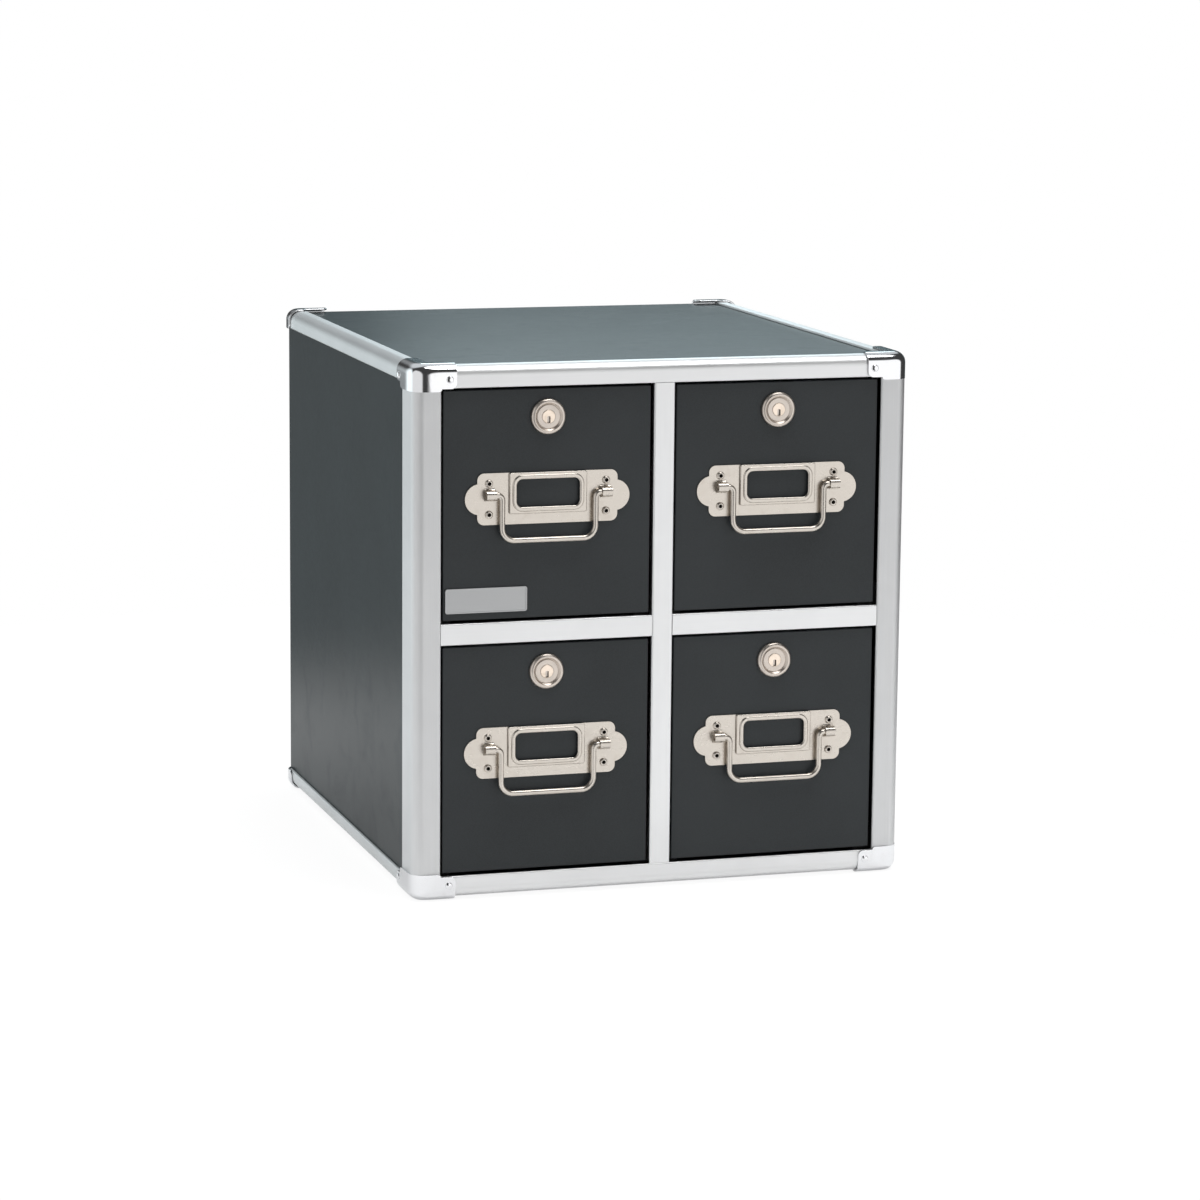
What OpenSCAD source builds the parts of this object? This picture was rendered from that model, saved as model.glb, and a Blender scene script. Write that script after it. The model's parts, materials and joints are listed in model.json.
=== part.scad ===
// Disc cabinet with four locking drawers: dark boards held in a frame of metal edges.
// Millimetres. The front faces -Y, +Z is up, and the origin lies on the floor under the middle
// of the object's box.

/* [Case] */
// Width over the metal edges
case_w = 368; // [340:1:420]
// Depth over the metal edges
case_d = 400; // [340:1:480]
// Height over the metal edges
case_h = 381; // [360:1:430]
// Thickness of the case boards
board_t = 10; // [8:0.5:11]

/* [Metal edges] */
// Wall of the extrusions, which stand this far proud of the boards
skin = 2; // [1.8:0.1:2.2]
// Outside radius of the extrusions
edge_r = 8; // [5:0.5:8.5]
// Face of the posts on the front
post_front = 20.2; // [18:0.1:24]
// Face of the posts on the sides
post_side = 32; // [26:0.5:36]
// Face height of the rails
rail_h = 16; // [15:0.1:17.5]
// Face height of the side edges
edge_h = 13.5; // [13:0.1:15]
// Width of the rails' flat face, front to back
rail_depth = 13; // [11:0.5:20]
// Width of the side edges' flat face
edge_flat = 14; // [13:0.5:18]

/* [Bars] */
// Face width of the bars between the drawers
bar_w = 15.5; // [14.5:0.1:18]
// Thickness of the bars' face
bar_t = 2; // [1.6:0.1:2.4]
// Radius along the edges of the bars' face
bar_r = 1.2; // [0.4:0.1:1.5]
// How far the bars lie behind the rails' face
bar_setback = 0.5; // [0.2:0.1:1]
// Thickness of the lips that grip the inner boards and stop the lock cams
lip_t = 1.6; // [1.2:0.1:1.7]

/* [Corner caps] */
// Wall of the pressed caps, which the cabinet stands on
cap_wall = 1.5; // [1:0.1:2]
// Reach of a cap along the front and the back
cap_x = 31; // [28:0.5:40]
// Reach of a front cap along the sides
cap_y = 41.5; // [38:0.5:50]
// Reach of a rear cap along the sides
rear_cap_y = 18; // [16:0.5:24]
// Height of a front cap, which holds the end of a post
cap_z = 18; // [16:0.5:24]
// Width of a cap's wings on the top and the bottom
cap_flat = 13; // [12.5:0.5:15]
// Radius at the free corners of the wings
cap_corner = 4; // [2:0.5:4]
// Distance of a cap rivet from the end of its wing
cap_rivet_in = 5; // [4:0.5:7]
// Distance of a cap rivet from the edge of the case
cap_rivet_w = 9.5; // [9:0.1:10]
// Radius of a cap rivet's head
cap_head_r = 2.6; // [2.2:0.1:3]
// Height of a cap rivet's head
cap_head_h = 1.2; // [0.8:0.1:1.5]
// Radius of a cap rivet's shank
cap_shank_r = 1.5; // [1.2:0.1:1.6]
// Length of a cap rivet's shank
cap_shank = 6.5; // [5:0.1:6.7]

/* [Drawers] */
// Gap around a drawer front
front_gap = 1.8; // [1:0.1:3]
// How far a drawer front lies behind the rails' face
front_inset = 3; // [2:0.1:4]
// Thickness of a drawer front
front_t = 6; // [5:0.5:8]
// Thickness of a drawer's sides and back
tray_wall = 4.5; // [3:0.5:8]
// Height of a drawer's sides and back
tray_h = 110; // [60:1:125]
// Thickness of a drawer's floor
tray_floor = 4; // [3:0.5:6]
// Room behind a closed drawer
tray_end_gap = 0.8; // [0.5:0.1:6]

/* [Runners] */
// Running clearance of a drawer on its runners
run_gap = 0.25; // [0.2:0.05:0.5]
// How far a runner's foot reaches under a drawer
runner_foot = 8; // [5:0.5:15]
// How far a runner's guide rises beside a drawer
runner_guide = 12; // [8:0.5:20]

/* [Pulls] */
// Distance of a pull's centre below the top of its opening
pull_drop = 79; // [70:1:95]
// Width of the plate without its end lobes
plate_w = 103; // [100:1:112]
// Height of the plate
plate_h = 36.7; // [34:0.1:42]
// Thickness of the plate's sheet
plate_t = 1.2; // [1:0.1:1.5]
// Radius of the plate's corners
plate_r = 5; // [3:0.5:7]
// Radius of the plate's end lobes
lobe_r = 11; // [10:0.5:13]
// How far the lobes reach past the plate
lobe_out = 9; // [7:0.5:9.5]
// Width of the raised label frame
label_w = 57; // [54:0.5:57]
// Height of the flat band below the label frame
band_h = 7.5; // [6:0.1:9]
// Depth of the card pocket behind the label frame
pocket_d = 1.8; // [1.2:0.1:2.2]
// Width of the window
window_w = 46; // [40:0.5:48]
// Height of the window
window_h = 19.5; // [15:0.5:22]
// Radius of the window's corners
window_r = 4; // [2:0.5:6]
// Width of the bead round the window
bead_w = 3.4; // [2:0.1:3.6]
// Height of the bead round the window
bead_h = 0.9; // [0.4:0.1:1]
// Distance of the pull rivets from the plate's middle, sideways
pull_rivet_x = 43; // [41:0.5:45]
// Distance of the pull rivets from the plate's middle, up and down
pull_rivet_z = 11; // [10.5:0.5:13]
// Radius of a pull rivet's head
pull_head_r = 2.9; // [2.4:0.1:3.4]
// Height of a pull rivet's head
pull_head_h = 1.4; // [1:0.1:1.8]
// Radius of a pull rivet's shank
pull_shank_r = 1.7; // [1.5:0.1:2]
// Radius of the hole down a pull rivet
pull_hollow_r = 1.3; // [0.8:0.1:1.4]

/* [Bails] */
// Radius of the bail's wire
wire_r = 2.1; // [1.8:0.05:2.3]
// Distance between the middles of the bail's legs
bail_w = 68.6; // [66:0.2:70]
// How far the bail hangs below its pivots
bail_drop = 32.4; // [28:0.1:40]
// Bend radius of the bail's lower corners
bail_corner = 9; // [6:0.5:14]
// Bend radius of the bail beside its pivots
bail_elbow = 3.5; // [3:0.25:4.5]
// Distance of the pivots in front of the drawer front
pivot_out = 5; // [4.6:0.1:6]
// Distance of the pivots above the middle of the plate
pivot_up = 3; // [0:0.1:3.5]
// Running clearance of the bail in its knuckles
pivot_gap = 0.05; // [0.02:0.01:0.09]
// Wall of a knuckle
knuckle_wall = 1.5; // [1:0.1:2]
// Length of a knuckle
knuckle_len = 7.5; // [5:0.5:9]

/* [Locks] */
// Distance of a lock's axis below the top of its opening
lock_drop = 21.6; // [19:0.1:26]
// Radius of the bezel
bezel_r = 12.75; // [12:0.25:14]
// Radius of the bezel's rounded rim
bezel_rim = 2.3; // [1.5:0.1:2.6]
// Thickness of the bezel's foot
bezel_foot = 1.2; // [0.8:0.1:1.6]
// Height of the lock's inner face
lock_face = 2.4; // [1.8:0.1:3]
// Radius of the barrel
barrel_r = 9; // [8:0.25:9.5]
// Radius of the plug
plug_r = 4.8; // [4.5:0.1:5.5]
// Running clearance of the plug in its barrel
plug_gap = 0.05; // [0.02:0.01:0.09]
// How far the plug stands out of the inner face
plug_out = 0.4; // [0.2:0.1:1]
// Width of the keyhole
key_w = 1.8; // [1.2:0.1:2.2]
// Height of the keyhole
key_h = 5; // [4:0.1:6]
// Distance of the keyhole from the foot of the plug's face
key_up = 0.6; // [0.4:0.1:2]
// Thickness of the nut
nut_t = 3; // [2.5:0.5:5]
// Width of the nut across its flats
nut_flats = 22; // [21:0.5:24]
// Thickness of the cam
cam_t = 2; // [1.5:0.1:3]
// Width of the cam's arm
cam_w = 9; // [7:0.5:12]
// Radius of the cam's eye
cam_eye_r = 7; // [6:0.5:9]
// Width of the square tang that turns the cam
tang_w = 5; // [4:0.1:5.2]

/* [Badge plate] */
// Width of the badge plate
badge_w = 60; // [40:1:70]
// Height of the badge plate
badge_h = 17.7; // [12:0.1:22]
// Thickness of the badge plate
badge_t = 0.8; // [0.6:0.1:1.2]
// Width of the raised rim round the badge plate
badge_rim = 0.9; // [0.6:0.1:1.5]
// Height of the raised rim round the badge plate
badge_rim_h = 0.4; // [0.2:0.1:0.6]
// Distance of the badge plate from the side of its opening
badge_in = 3.4; // [3.1:0.1:8]
// Distance of the badge plate from the foot of its opening
badge_up = 7; // [4:0.1:12]

/* [Hidden] */
$fn = 64;
// Clearance of a rivet or a barrel in its hole
hole_gap = 0.05;
// Gap between the end of an extrusion and the inside of its cap
end_gap = 0.5;
// Gap between a board's rear corner and the fold of a cap
fold_gap = 0.1;
// Gap between a locked cam and the lip that stops it
keeper_gap = 0.5;
// Gap between a locked cam's tip and the board above it
tip_gap = 0.35;
// How far the barrel reaches past its nut
barrel_past = 0.5;
// Gap between the end of the barrel and the cam
cam_gap = 0.3;
// Clearance of the cam on its tang
tang_gap = 0.05;
// Height of the peened end that holds the cam on its tang
peen_h = 1.2;
// How far the peened end reaches past the corners of the tang
peen_past = 0.25;
// Gap between a knuckle and the bend of the bail
elbow_gap = 0.9;
// How far the ends of the bail reach past the knuckles
pin_past = 0.6;
// Height of the clinched end of a pull rivet
clinch_h = 0.8;
// Depth of the keyhole and of the hole down a pull rivet
blind_depth = 4;
// Extra length of a cutting tool past the face that it cuts
over = 1;

// Bore and outside of a knuckle
bore_r = wire_r + pivot_gap;
knuckle_r = bore_r + knuckle_wall;
// Inner face of a case board, from the outside of the metal edges
board_in = skin + board_t;
// How far the knuckles and the cap rivets reach past the metal edges
rear_reach = cap_wall + cap_head_h;
front_reach = max(pivot_out + knuckle_r - front_inset, rear_reach);
x_out = case_w / 2;
y_front = (front_reach - rear_reach - case_d) / 2;
y_back = y_front + case_d;
z_low = cap_wall;
z_high = z_low + case_h;
// Faces of the boards, whose rear corners lie inside the round folds of the caps
y_board = y_front + edge_r;
rear_in = edge_r - sqrt(edge_r * edge_r - pow(edge_r - skin, 2)) + fold_gap;
y_rear = y_back - rear_in;
y_inner = y_rear - board_t;
x_inner = x_out - board_in;
z_floor = z_low + board_in;
z_roof = z_high - board_in;
// Openings of the bays
open_w = (case_w - 2 * post_front - bar_w) / 2;
open_h = (case_h - 2 * rail_h - bar_w) / 2;
shelf_z = z_low + rail_h + open_h + bar_w / 2;
y_bar = y_front + bar_setback;
y_bar_back = y_bar + bar_t;
// Drawers, measured from the face and the top of their openings
drawer_w = open_w - 2 * front_gap;
drawer_low = front_gap - open_h;
tray_back = y_inner - tray_end_gap - y_front - front_inset;
// Locks, measured back from the face of a drawer front
barrel_back = front_t + nut_t + barrel_past;
cam_front = barrel_back + cam_gap;
// How far the roots of the lips lie past the openings
lip_root = min(rail_h - board_in, (bar_w - board_t) / 2);
cam_reach = lip_root - tip_gap;
cam_len = lock_drop + cam_reach;
// Rear end of the lips, from the front of the rails
lip_back = front_inset + cam_front - keeper_gap;
// Pulls
knuckle_x = bail_w / 2 + bail_elbow + elbow_gap;
label_h = pocket_d + plate_t;
label_low = band_h - plate_h / 2;

// Each bay is a name, a side (-1 left, 1 right) and a row (0 lower, 1 upper)
BAYS = [
    ["upper_left", -1, 1],
    ["upper_right", 1, 1],
    ["lower_left", -1, 0],
    ["lower_right", 1, 0],
];
function bay_x(bay) = bay[1] * (bar_w + open_w) / 2;
function bay_top(bay) = z_low + rail_h + bay[2] * (open_h + bar_w) + open_h;
function bay_floor(bay) = bay[2] == 0 ? z_floor : shelf_z + board_t / 2;

CASE_NODES = [
    "top_board", "bottom_board", "left_board", "right_board", "back_board",
    "partition", "left_shelf", "right_shelf",
    "left_post", "right_post", "top_front_rail", "bottom_front_rail",
    "top_left_edge", "top_right_edge", "bottom_left_edge", "bottom_right_edge",
    "centre_bar", "left_mid_bar", "right_mid_bar",
    "front_corner_caps", "rear_corner_caps", "cap_rivets", "drawer_runners", "badge_plate",
];
DRAWER_NODES = [
    "drawer_front", "drawer_tray", "pull_plate", "pull_rivets", "bail",
    "lock_body", "lock_nut", "lock_plug", "lock_cam",
];

ALUMINIUM = "gainsboro";
LAMINATE = "darkslategray";
NICKEL = "antiquewhite";
STEEL = "lightgray";
WOOD = "burlywood";

// Shared shapes

// Box between two opposite corners
module block(low, high) {
    translate(low) cube(high - low);
}

// Rectangle about the origin with round corners
module round_rectangle(width, height, radius) {
    square([width - 2 * radius, height], center = true);
    square([width, height - 2 * radius], center = true);
    for (x = [-1, 1], y = [-1, 1])
        translate([x * (width / 2 - radius), y * (height / 2 - radius)]) circle(radius);
}

// Section of an edge extrusion: two flanges and a solid corner, rounded on the outside.
// Its outer corner is at the origin and its flanges run along +X and +Y.
module edge_section(flange_x, flange_y, core) {
    reach = flange_x + flange_y;
    intersection() {
        union() {
            square([flange_x, skin]);
            square([skin, flange_y]);
            square(core);
        }
        union() {
            translate([edge_r, edge_r]) circle(edge_r);
            translate([edge_r, 0]) square(reach);
            translate([0, edge_r]) square(reach);
        }
    }
}

// Section of a bar: a rounded face with two lips behind it that grip a board
module bar_section() {
    translate([-bar_w / 2, bar_r]) square([bar_w, bar_t - bar_r]);
    translate([bar_r - bar_w / 2, 0]) square([bar_w - 2 * bar_r, bar_t]);
    for (side = [-1, 1]) {
        translate([side * (bar_w / 2 - bar_r), bar_r]) intersection() {
            circle(bar_r);
            translate([-bar_r, -bar_r]) square([2 * bar_r, bar_t]);
        }
        translate([side * (board_t + lip_t) / 2 - lip_t / 2, bar_t])
            square([lip_t, lip_back - bar_setback - bar_t]);
    }
}

// Low dome on the XY plane
module dome(radius, height) {
    ball = (radius * radius + height * height) / (2 * height);
    rotate_extrude() intersection() {
        translate([0, height - ball]) circle(ball);
        square([radius, height]);
    }
}

// Turns what is drawn for the left side to the right side
module on_side(side) {
    if (side < 0) children();
    else mirror([1, 0, 0]) children();
}

// Turns what is drawn for the foot of the case to its top
module at_top() {
    translate([0, 0, z_low + z_high]) mirror([0, 0, 1]) children();
}

// Frame of one corner of the metal edges, with its three axes running into the case
module at_corner(x_side, y_side, z_side) {
    translate([x_side * x_out, y_side < 0 ? y_front : y_back, z_side < 0 ? z_low : z_high])
        mirror([x_side < 0 ? 0 : 1, 0, 0])
            mirror([0, y_side < 0 ? 0 : 1, 0])
                mirror([0, 0, z_side < 0 ? 0 : 1])
                    children();
}

// Frame of a bay: the middle of the opening's top, on the face of the drawer front
module in_bay(bay) {
    translate([bay_x(bay), y_front + front_inset, bay_top(bay)]) children();
}

// Frame of a fitting on a drawer front: X right, Y up and Z out of the front
module on_front(bay, drop) {
    in_bay(bay) translate([0, 0, -drop]) rotate([90, 0, 0]) children();
}

// Case boards

// Holes in a board's rear edge for the rivets of the rear caps
module rear_rivet_holes() {
    for (x_side = [-1, 1])
        at_corner(x_side, 1, -1) translate([cap_x - cap_rivet_in, 0, cap_rivet_w])
            rotate([-90, 0, 0]) cylinder(r = cap_shank_r + hole_gap, h = cap_shank);
}

module bottom_board() {
    color(LAMINATE) difference() {
        block([edge_r - x_out, y_board, z_low + skin], [x_out - edge_r, y_rear, z_floor]);
        rear_rivet_holes();
    }
}

module top_board() {
    at_top() bottom_board();
}

module side_board(side) {
    color(LAMINATE) on_side(side)
        block([skin - x_out, y_board, z_floor], [-x_inner, y_rear, z_roof]);
}

module back_board() {
    color(LAMINATE) block([-x_inner, y_inner, z_floor], [x_inner, y_rear, z_roof]);
}

module partition() {
    color(LAMINATE) block([-board_t / 2, y_bar_back, z_floor], [board_t / 2, y_inner, z_roof]);
}

// Shelf of one side, notched at the front for the lip of the centre bar
module shelf(side) {
    low = shelf_z - board_t / 2;
    notch = board_t / 2 + lip_t + hole_gap;
    color(LAMINATE) on_side(side) difference() {
        block([-x_inner, y_bar_back, low], [-board_t / 2, y_inner, low + board_t]);
        block([-notch, y_bar_back - over, low - over],
              [0, y_front + lip_back + hole_gap, low + board_t + over]);
    }
}

// Metal edges

module post(side) {
    color(ALUMINIUM) on_side(side) translate([-x_out, y_front, z_low + rail_h])
        linear_extrude(case_h - 2 * rail_h)
            edge_section(post_front, post_side, [board_in, edge_r]);
}

module bottom_front_rail() {
    half = x_out - edge_r - end_gap;
    color(ALUMINIUM) difference() {
        translate([-half, y_front, z_low]) rotate([90, 0, 90])
            linear_extrude(2 * half) edge_section(rail_depth, rail_h, [edge_r, board_in]);
        for (x_side = [-1, 1])
            at_corner(x_side, -1, -1) translate([cap_x - cap_rivet_in, -over, cap_rivet_w])
                rotate([-90, 0, 0])
                    cylinder(r = cap_shank_r + hole_gap, h = cap_shank - cap_wall + over + hole_gap);
    }
}

// Top rail: the same extrusion, with a lip over each upper bay that stops the lock cams
module top_front_rail() {
    root = z_low + rail_h - lip_root;
    at_top() {
        bottom_front_rail();
        color(ALUMINIUM) for (side = [-1, 1])
            on_side(side)
                block([-bar_w / 2 - open_w, y_front + skin / 2, root],
                      [-bar_w / 2, y_front + lip_back, root + lip_t]);
    }
}

module bottom_edge(side) {
    length = case_d - rail_depth - edge_r - end_gap;
    color(ALUMINIUM) on_side(side) difference() {
        translate([-x_out, y_front + rail_depth + length, z_low]) rotate([90, 0, 0])
            linear_extrude(length) edge_section(edge_flat, edge_h, [edge_r, board_in]);
        at_corner(-1, -1, -1) translate([-over, cap_y - cap_rivet_in, cap_rivet_w])
            rotate([0, 90, 0])
                cylinder(r = cap_shank_r + hole_gap, h = cap_shank - cap_wall + over + hole_gap);
    }
}

module top_edge(side) {
    at_top() bottom_edge(side);
}

module centre_bar() {
    color(ALUMINIUM) translate([0, y_bar, z_low + rail_h])
        linear_extrude(case_h - 2 * rail_h) bar_section();
}

module mid_bar(side) {
    color(ALUMINIUM) on_side(side) translate([-bar_w / 2, y_bar, shelf_z]) rotate([0, -90, 0])
        linear_extrude(open_w) bar_section();
}

// Corner caps

// Quarter of a ring about the rounded corner of an edge
module cap_fold() {
    outer = edge_r + cap_wall;
    translate([edge_r, edge_r]) intersection() {
        difference() {
            circle(outer);
            circle(edge_r);
        }
        translate([-outer, -outer]) square(outer);
    }
}

// Flat part of a wing, round at its free corner
module cap_wing(reach_x, reach_y) {
    translate([edge_r, edge_r]) {
        square([reach_x - edge_r - cap_corner, reach_y - edge_r]);
        square([reach_x - edge_r, reach_y - edge_r - cap_corner]);
    }
    translate([reach_x - cap_corner, reach_y - cap_corner]) circle(cap_corner);
}

// One cap in the frame of its corner: three flat faces, three rounded folds and a round point.
// A rear cap is as low as the side edges, because no post ends in it.
module cap(y_side) {
    outer = edge_r + cap_wall;
    reach_y = y_side < 0 ? cap_y : rear_cap_y;
    reach_z = y_side < 0 ? cap_z : edge_h;
    difference() {
        union() {
            rotate([90, 0, 0]) linear_extrude(cap_wall) {
                cap_wing(cap_x, min(rail_h, reach_z));
                cap_wing(post_front, reach_z);
            }
            translate([-cap_wall, 0, 0]) rotate([90, 0, 90]) linear_extrude(cap_wall) {
                cap_wing(reach_y, edge_h);
                cap_wing(min(post_side, reach_y), reach_z);
            }
            translate([0, 0, -cap_wall]) linear_extrude(cap_wall) {
                cap_wing(cap_x, cap_flat);
                cap_wing(cap_flat, reach_y);
            }
            translate([edge_r, 0, 0]) rotate([90, 0, 90]) linear_extrude(cap_x - edge_r) cap_fold();
            translate([0, reach_y, 0]) rotate([90, 0, 0]) linear_extrude(reach_y - edge_r) cap_fold();
            translate([0, 0, edge_r]) linear_extrude(reach_z - edge_r) cap_fold();
            translate([edge_r, edge_r, edge_r]) rotate([0, 0, 180]) rotate_extrude(angle = 90)
                intersection() {
                    difference() {
                        circle(outer);
                        circle(edge_r);
                    }
                    translate([0, -outer]) square(outer);
                }
        }
        at_cap_rivets(y_side) translate([0, 0, -cap_wall - over])
            cylinder(r = cap_shank_r + hole_gap, h = cap_wall + 2 * over);
    }
}

// The rivet places of a cap, on the face that the head sits on and with Z pointing outwards.
// A rear cap has none at its side.
module at_cap_rivets(y_side) {
    translate([cap_x - cap_rivet_in, -cap_wall, cap_rivet_w]) rotate([90, 0, 0]) children();
    if (y_side < 0)
        translate([-cap_wall, cap_y - cap_rivet_in, cap_rivet_w]) rotate([0, -90, 0]) children();
}

module corner_caps(y_side) {
    color(STEEL) for (x_side = [-1, 1], z_side = [-1, 1]) at_corner(x_side, y_side, z_side) cap(y_side);
}

module cap_rivets() {
    color(STEEL) for (x_side = [-1, 1], y_side = [-1, 1], z_side = [-1, 1])
        at_corner(x_side, y_side, z_side) at_cap_rivets(y_side) {
            dome(cap_head_r, cap_head_h);
            translate([0, 0, -cap_shank]) cylinder(r = cap_shank_r, h = cap_shank);
        }
}

// Runners

// L-section runner: a foot under the drawer and a guide beside it, seated on a board at x_seat
module runner(bay, x_seat, x_drawer) {
    toward = sign(x_drawer - x_seat);
    top = bay_top(bay) + drawer_low - run_gap;
    for (step = [[x_drawer + toward * runner_foot, top],
                 [x_drawer - toward * run_gap, top + runner_guide]])
        block([min(x_seat, step[0]), y_front + lip_back + over, bay_floor(bay)],
              [max(x_seat, step[0]), y_inner, step[1]]);
}

module drawer_runners() {
    color(WOOD) for (bay = BAYS) on_side(bay[1]) {
        runner(bay, -x_inner, post_front + front_gap - x_out);
        runner(bay, -board_t / 2, -bar_w / 2 - front_gap);
    }
}

// Drawers

module at_pull_rivets() {
    for (x = [-1, 1], y = [-1, 1]) translate([x * pull_rivet_x, y * pull_rivet_z, 0]) children();
}

module drawer_front(bay) {
    color(LAMINATE) difference() {
        in_bay(bay) block([-drawer_w / 2, 0, drawer_low], [drawer_w / 2, front_t, -front_gap]);
        on_front(bay, lock_drop) translate([0, 0, -front_t - over])
            cylinder(r = barrel_r + hole_gap, h = front_t + 2 * over);
        on_front(bay, pull_drop) at_pull_rivets() translate([0, 0, -front_t - over])
            cylinder(r = pull_shank_r + hole_gap, h = front_t + 2 * over);
    }
}

// Tray behind a drawer front: two sides with a back and a floor between them
module drawer_tray(bay) {
    half = drawer_w / 2;
    inside = half - tray_wall;
    top = drawer_low + tray_h;
    color(WOOD) in_bay(bay) {
        for (side = [-1, 1])
            on_side(side) block([-half, front_t, drawer_low], [-inside, tray_back, top]);
        block([-inside, tray_back - tray_wall, drawer_low], [inside, tray_back, top]);
        block([-inside, front_t, drawer_low],
              [inside, tray_back - tray_wall, drawer_low + tray_floor]);
    }
}

// Pulls

// Stamped plate: flat ends with round lobes, a raised label frame open at the top, a bead round
// its window, and a knuckle at each side for the bail
module pull_plate(bay) {
    lobe_x = plate_w / 2 + lobe_out - lobe_r;
    color(NICKEL) on_front(bay, pull_drop) difference() {
        union() {
            linear_extrude(plate_t) {
                round_rectangle(plate_w, plate_h, plate_r);
                for (side = [-1, 1]) translate([side * lobe_x, 0]) circle(lobe_r);
            }
            translate([-label_w / 2, label_low, 0]) cube([label_w, plate_h - band_h, label_h]);
            translate([0, band_h / 2, 0]) hull() for (step = [[bead_w, 0], [bead_w - bead_h, bead_h]])
                linear_extrude(label_h + step[1])
                    round_rectangle(window_w + 2 * step[0], window_h + 2 * step[0], window_r + step[0]);
            for (side = [-1, 1]) on_side(side) translate([-knuckle_x - knuckle_len, pivot_up, 0]) {
                translate([0, 0, pivot_out]) rotate([0, 90, 0]) cylinder(r = knuckle_r, h = knuckle_len);
                translate([0, -knuckle_r, 0]) cube([knuckle_len, 2 * knuckle_r, pivot_out]);
            }
        }
        translate([plate_t - label_w / 2, label_low + plate_t, -over])
            cube([label_w - 2 * plate_t, plate_h, pocket_d + over]);
        translate([0, band_h / 2, 0]) linear_extrude(label_h + bead_h + over)
            round_rectangle(window_w, window_h, window_r);
        for (side = [-1, 1]) on_side(side)
            translate([-knuckle_x - knuckle_len - over, pivot_up, pivot_out]) rotate([0, 90, 0])
                cylinder(r = bore_r, h = knuckle_len + 2 * over);
        at_pull_rivets() translate([0, 0, -over])
            cylinder(r = pull_shank_r + hole_gap, h = plate_t + 2 * over);
    }
}

// Hollow rivets that hold a pull plate, clinched behind the drawer front
module pull_rivets(bay) {
    color(NICKEL) on_front(bay, pull_drop) at_pull_rivets() difference() {
        union() {
            translate([0, 0, plate_t]) dome(pull_head_r, pull_head_h);
            translate([0, 0, -front_t]) cylinder(r = pull_shank_r, h = front_t + plate_t);
            translate([0, 0, -front_t - clinch_h]) cylinder(r = pull_head_r, h = clinch_h);
        }
        translate([0, 0, plate_t + pull_head_h - blind_depth])
            cylinder(r = pull_hollow_r, h = blind_depth + over);
    }
}

// Half of a bail: the pin in its knuckle, the elbow, the leg and the lower corner
module bail_half() {
    leg = bail_w / 2;
    elbow_x = leg + bail_elbow;
    translate([elbow_x, 0, 0]) rotate([0, 90, 0])
        cylinder(r = wire_r, h = elbow_gap + knuckle_len + pin_past);
    translate([elbow_x, -bail_elbow, 0]) rotate([0, 0, 90]) rotate_extrude(angle = 90)
        translate([bail_elbow, 0]) circle(wire_r);
    translate([leg, bail_corner - bail_drop, 0]) rotate([-90, 0, 0])
        cylinder(r = wire_r, h = bail_drop - bail_corner - bail_elbow);
    translate([leg - bail_corner, bail_corner - bail_drop, 0]) rotate([0, 0, -90])
        rotate_extrude(angle = 90) translate([bail_corner, 0]) circle(wire_r);
    translate([0, -bail_drop, 0]) rotate([0, 90, 0]) cylinder(r = wire_r, h = leg - bail_corner);
}

module bail(bay) {
    color(NICKEL) on_front(bay, pull_drop) translate([0, pivot_up, pivot_out])
        for (side = [-1, 1]) on_side(side) mirror([1, 0, 0]) bail_half();
}

// Locks

// Bezel with a rounded rim, a sunk inner face and the barrel behind it, bored for the plug
module lock_body(bay) {
    bore = plug_r + plug_gap;
    color(STEEL) on_front(bay, lock_drop) rotate_extrude() difference() {
        union() {
            square([bezel_r, bezel_foot]);
            translate([bezel_r - bezel_rim, bezel_foot]) circle(bezel_rim);
            square([bezel_r - bezel_rim, lock_face]);
            translate([0, -barrel_back]) square([barrel_r, barrel_back + bezel_foot]);
        }
        translate([0, -barrel_back - over]) square([bore, barrel_back + lock_face + 2 * over]);
        translate([barrel_r, -bezel_r]) square([bezel_r, bezel_r]);
    }
}

module lock_nut(bay) {
    color(STEEL) on_front(bay, lock_drop) translate([0, 0, -front_t - nut_t]) difference() {
        cylinder(d = nut_flats / cos(30), h = nut_t, $fn = 6);
        translate([0, 0, -over]) cylinder(r = barrel_r + hole_gap, h = nut_t + 2 * over);
    }
}

// Plug with its keyhole, and the square tang and peened end that carry the cam
module lock_plug(bay) {
    face = lock_face + plug_out;
    color(NICKEL) on_front(bay, lock_drop) {
        difference() {
            translate([0, 0, -cam_front]) cylinder(r = plug_r, h = cam_front + face);
            translate([-key_w / 2, key_up - plug_r, face - blind_depth])
                cube([key_w, key_h, blind_depth + over]);
        }
        translate([-tang_w / 2, -tang_w / 2, -cam_front - cam_t]) cube([tang_w, tang_w, cam_t]);
        translate([0, 0, -cam_front - cam_t - peen_h])
            cylinder(r = tang_w / sqrt(2) + peen_past, h = peen_h);
    }
}

// Cam lying sideways, as it does when the lock is open
module lock_cam(bay) {
    hole = tang_w + 2 * tang_gap;
    color(STEEL) on_front(bay, lock_drop) translate([0, 0, -cam_front - cam_t])
        linear_extrude(cam_t) difference() {
            union() {
                circle(cam_eye_r);
                intersection() {
                    translate([0, -cam_w / 2]) square([cam_len, cam_w]);
                    circle(cam_len);
                }
            }
            square(hole, center = true);
        }
}

// Bare plate at the foot of the upper left drawer front, with a raised rim
module badge_plate() {
    low = [badge_in - open_w / 2, -badge_t, badge_up - open_h];
    high = [low[0] + badge_w, 0, low[2] + badge_h];
    inset = [badge_rim, 0, badge_rim];
    color(STEEL) in_bay(BAYS[0]) {
        block(low, high);
        difference() {
            block(low - [0, badge_rim_h, 0], [high[0], -badge_t / 2, high[2]]);
            block(low + inset - [0, badge_rim_h + over, 0], high - inset + [0, over, 0]);
        }
    }
}

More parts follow.
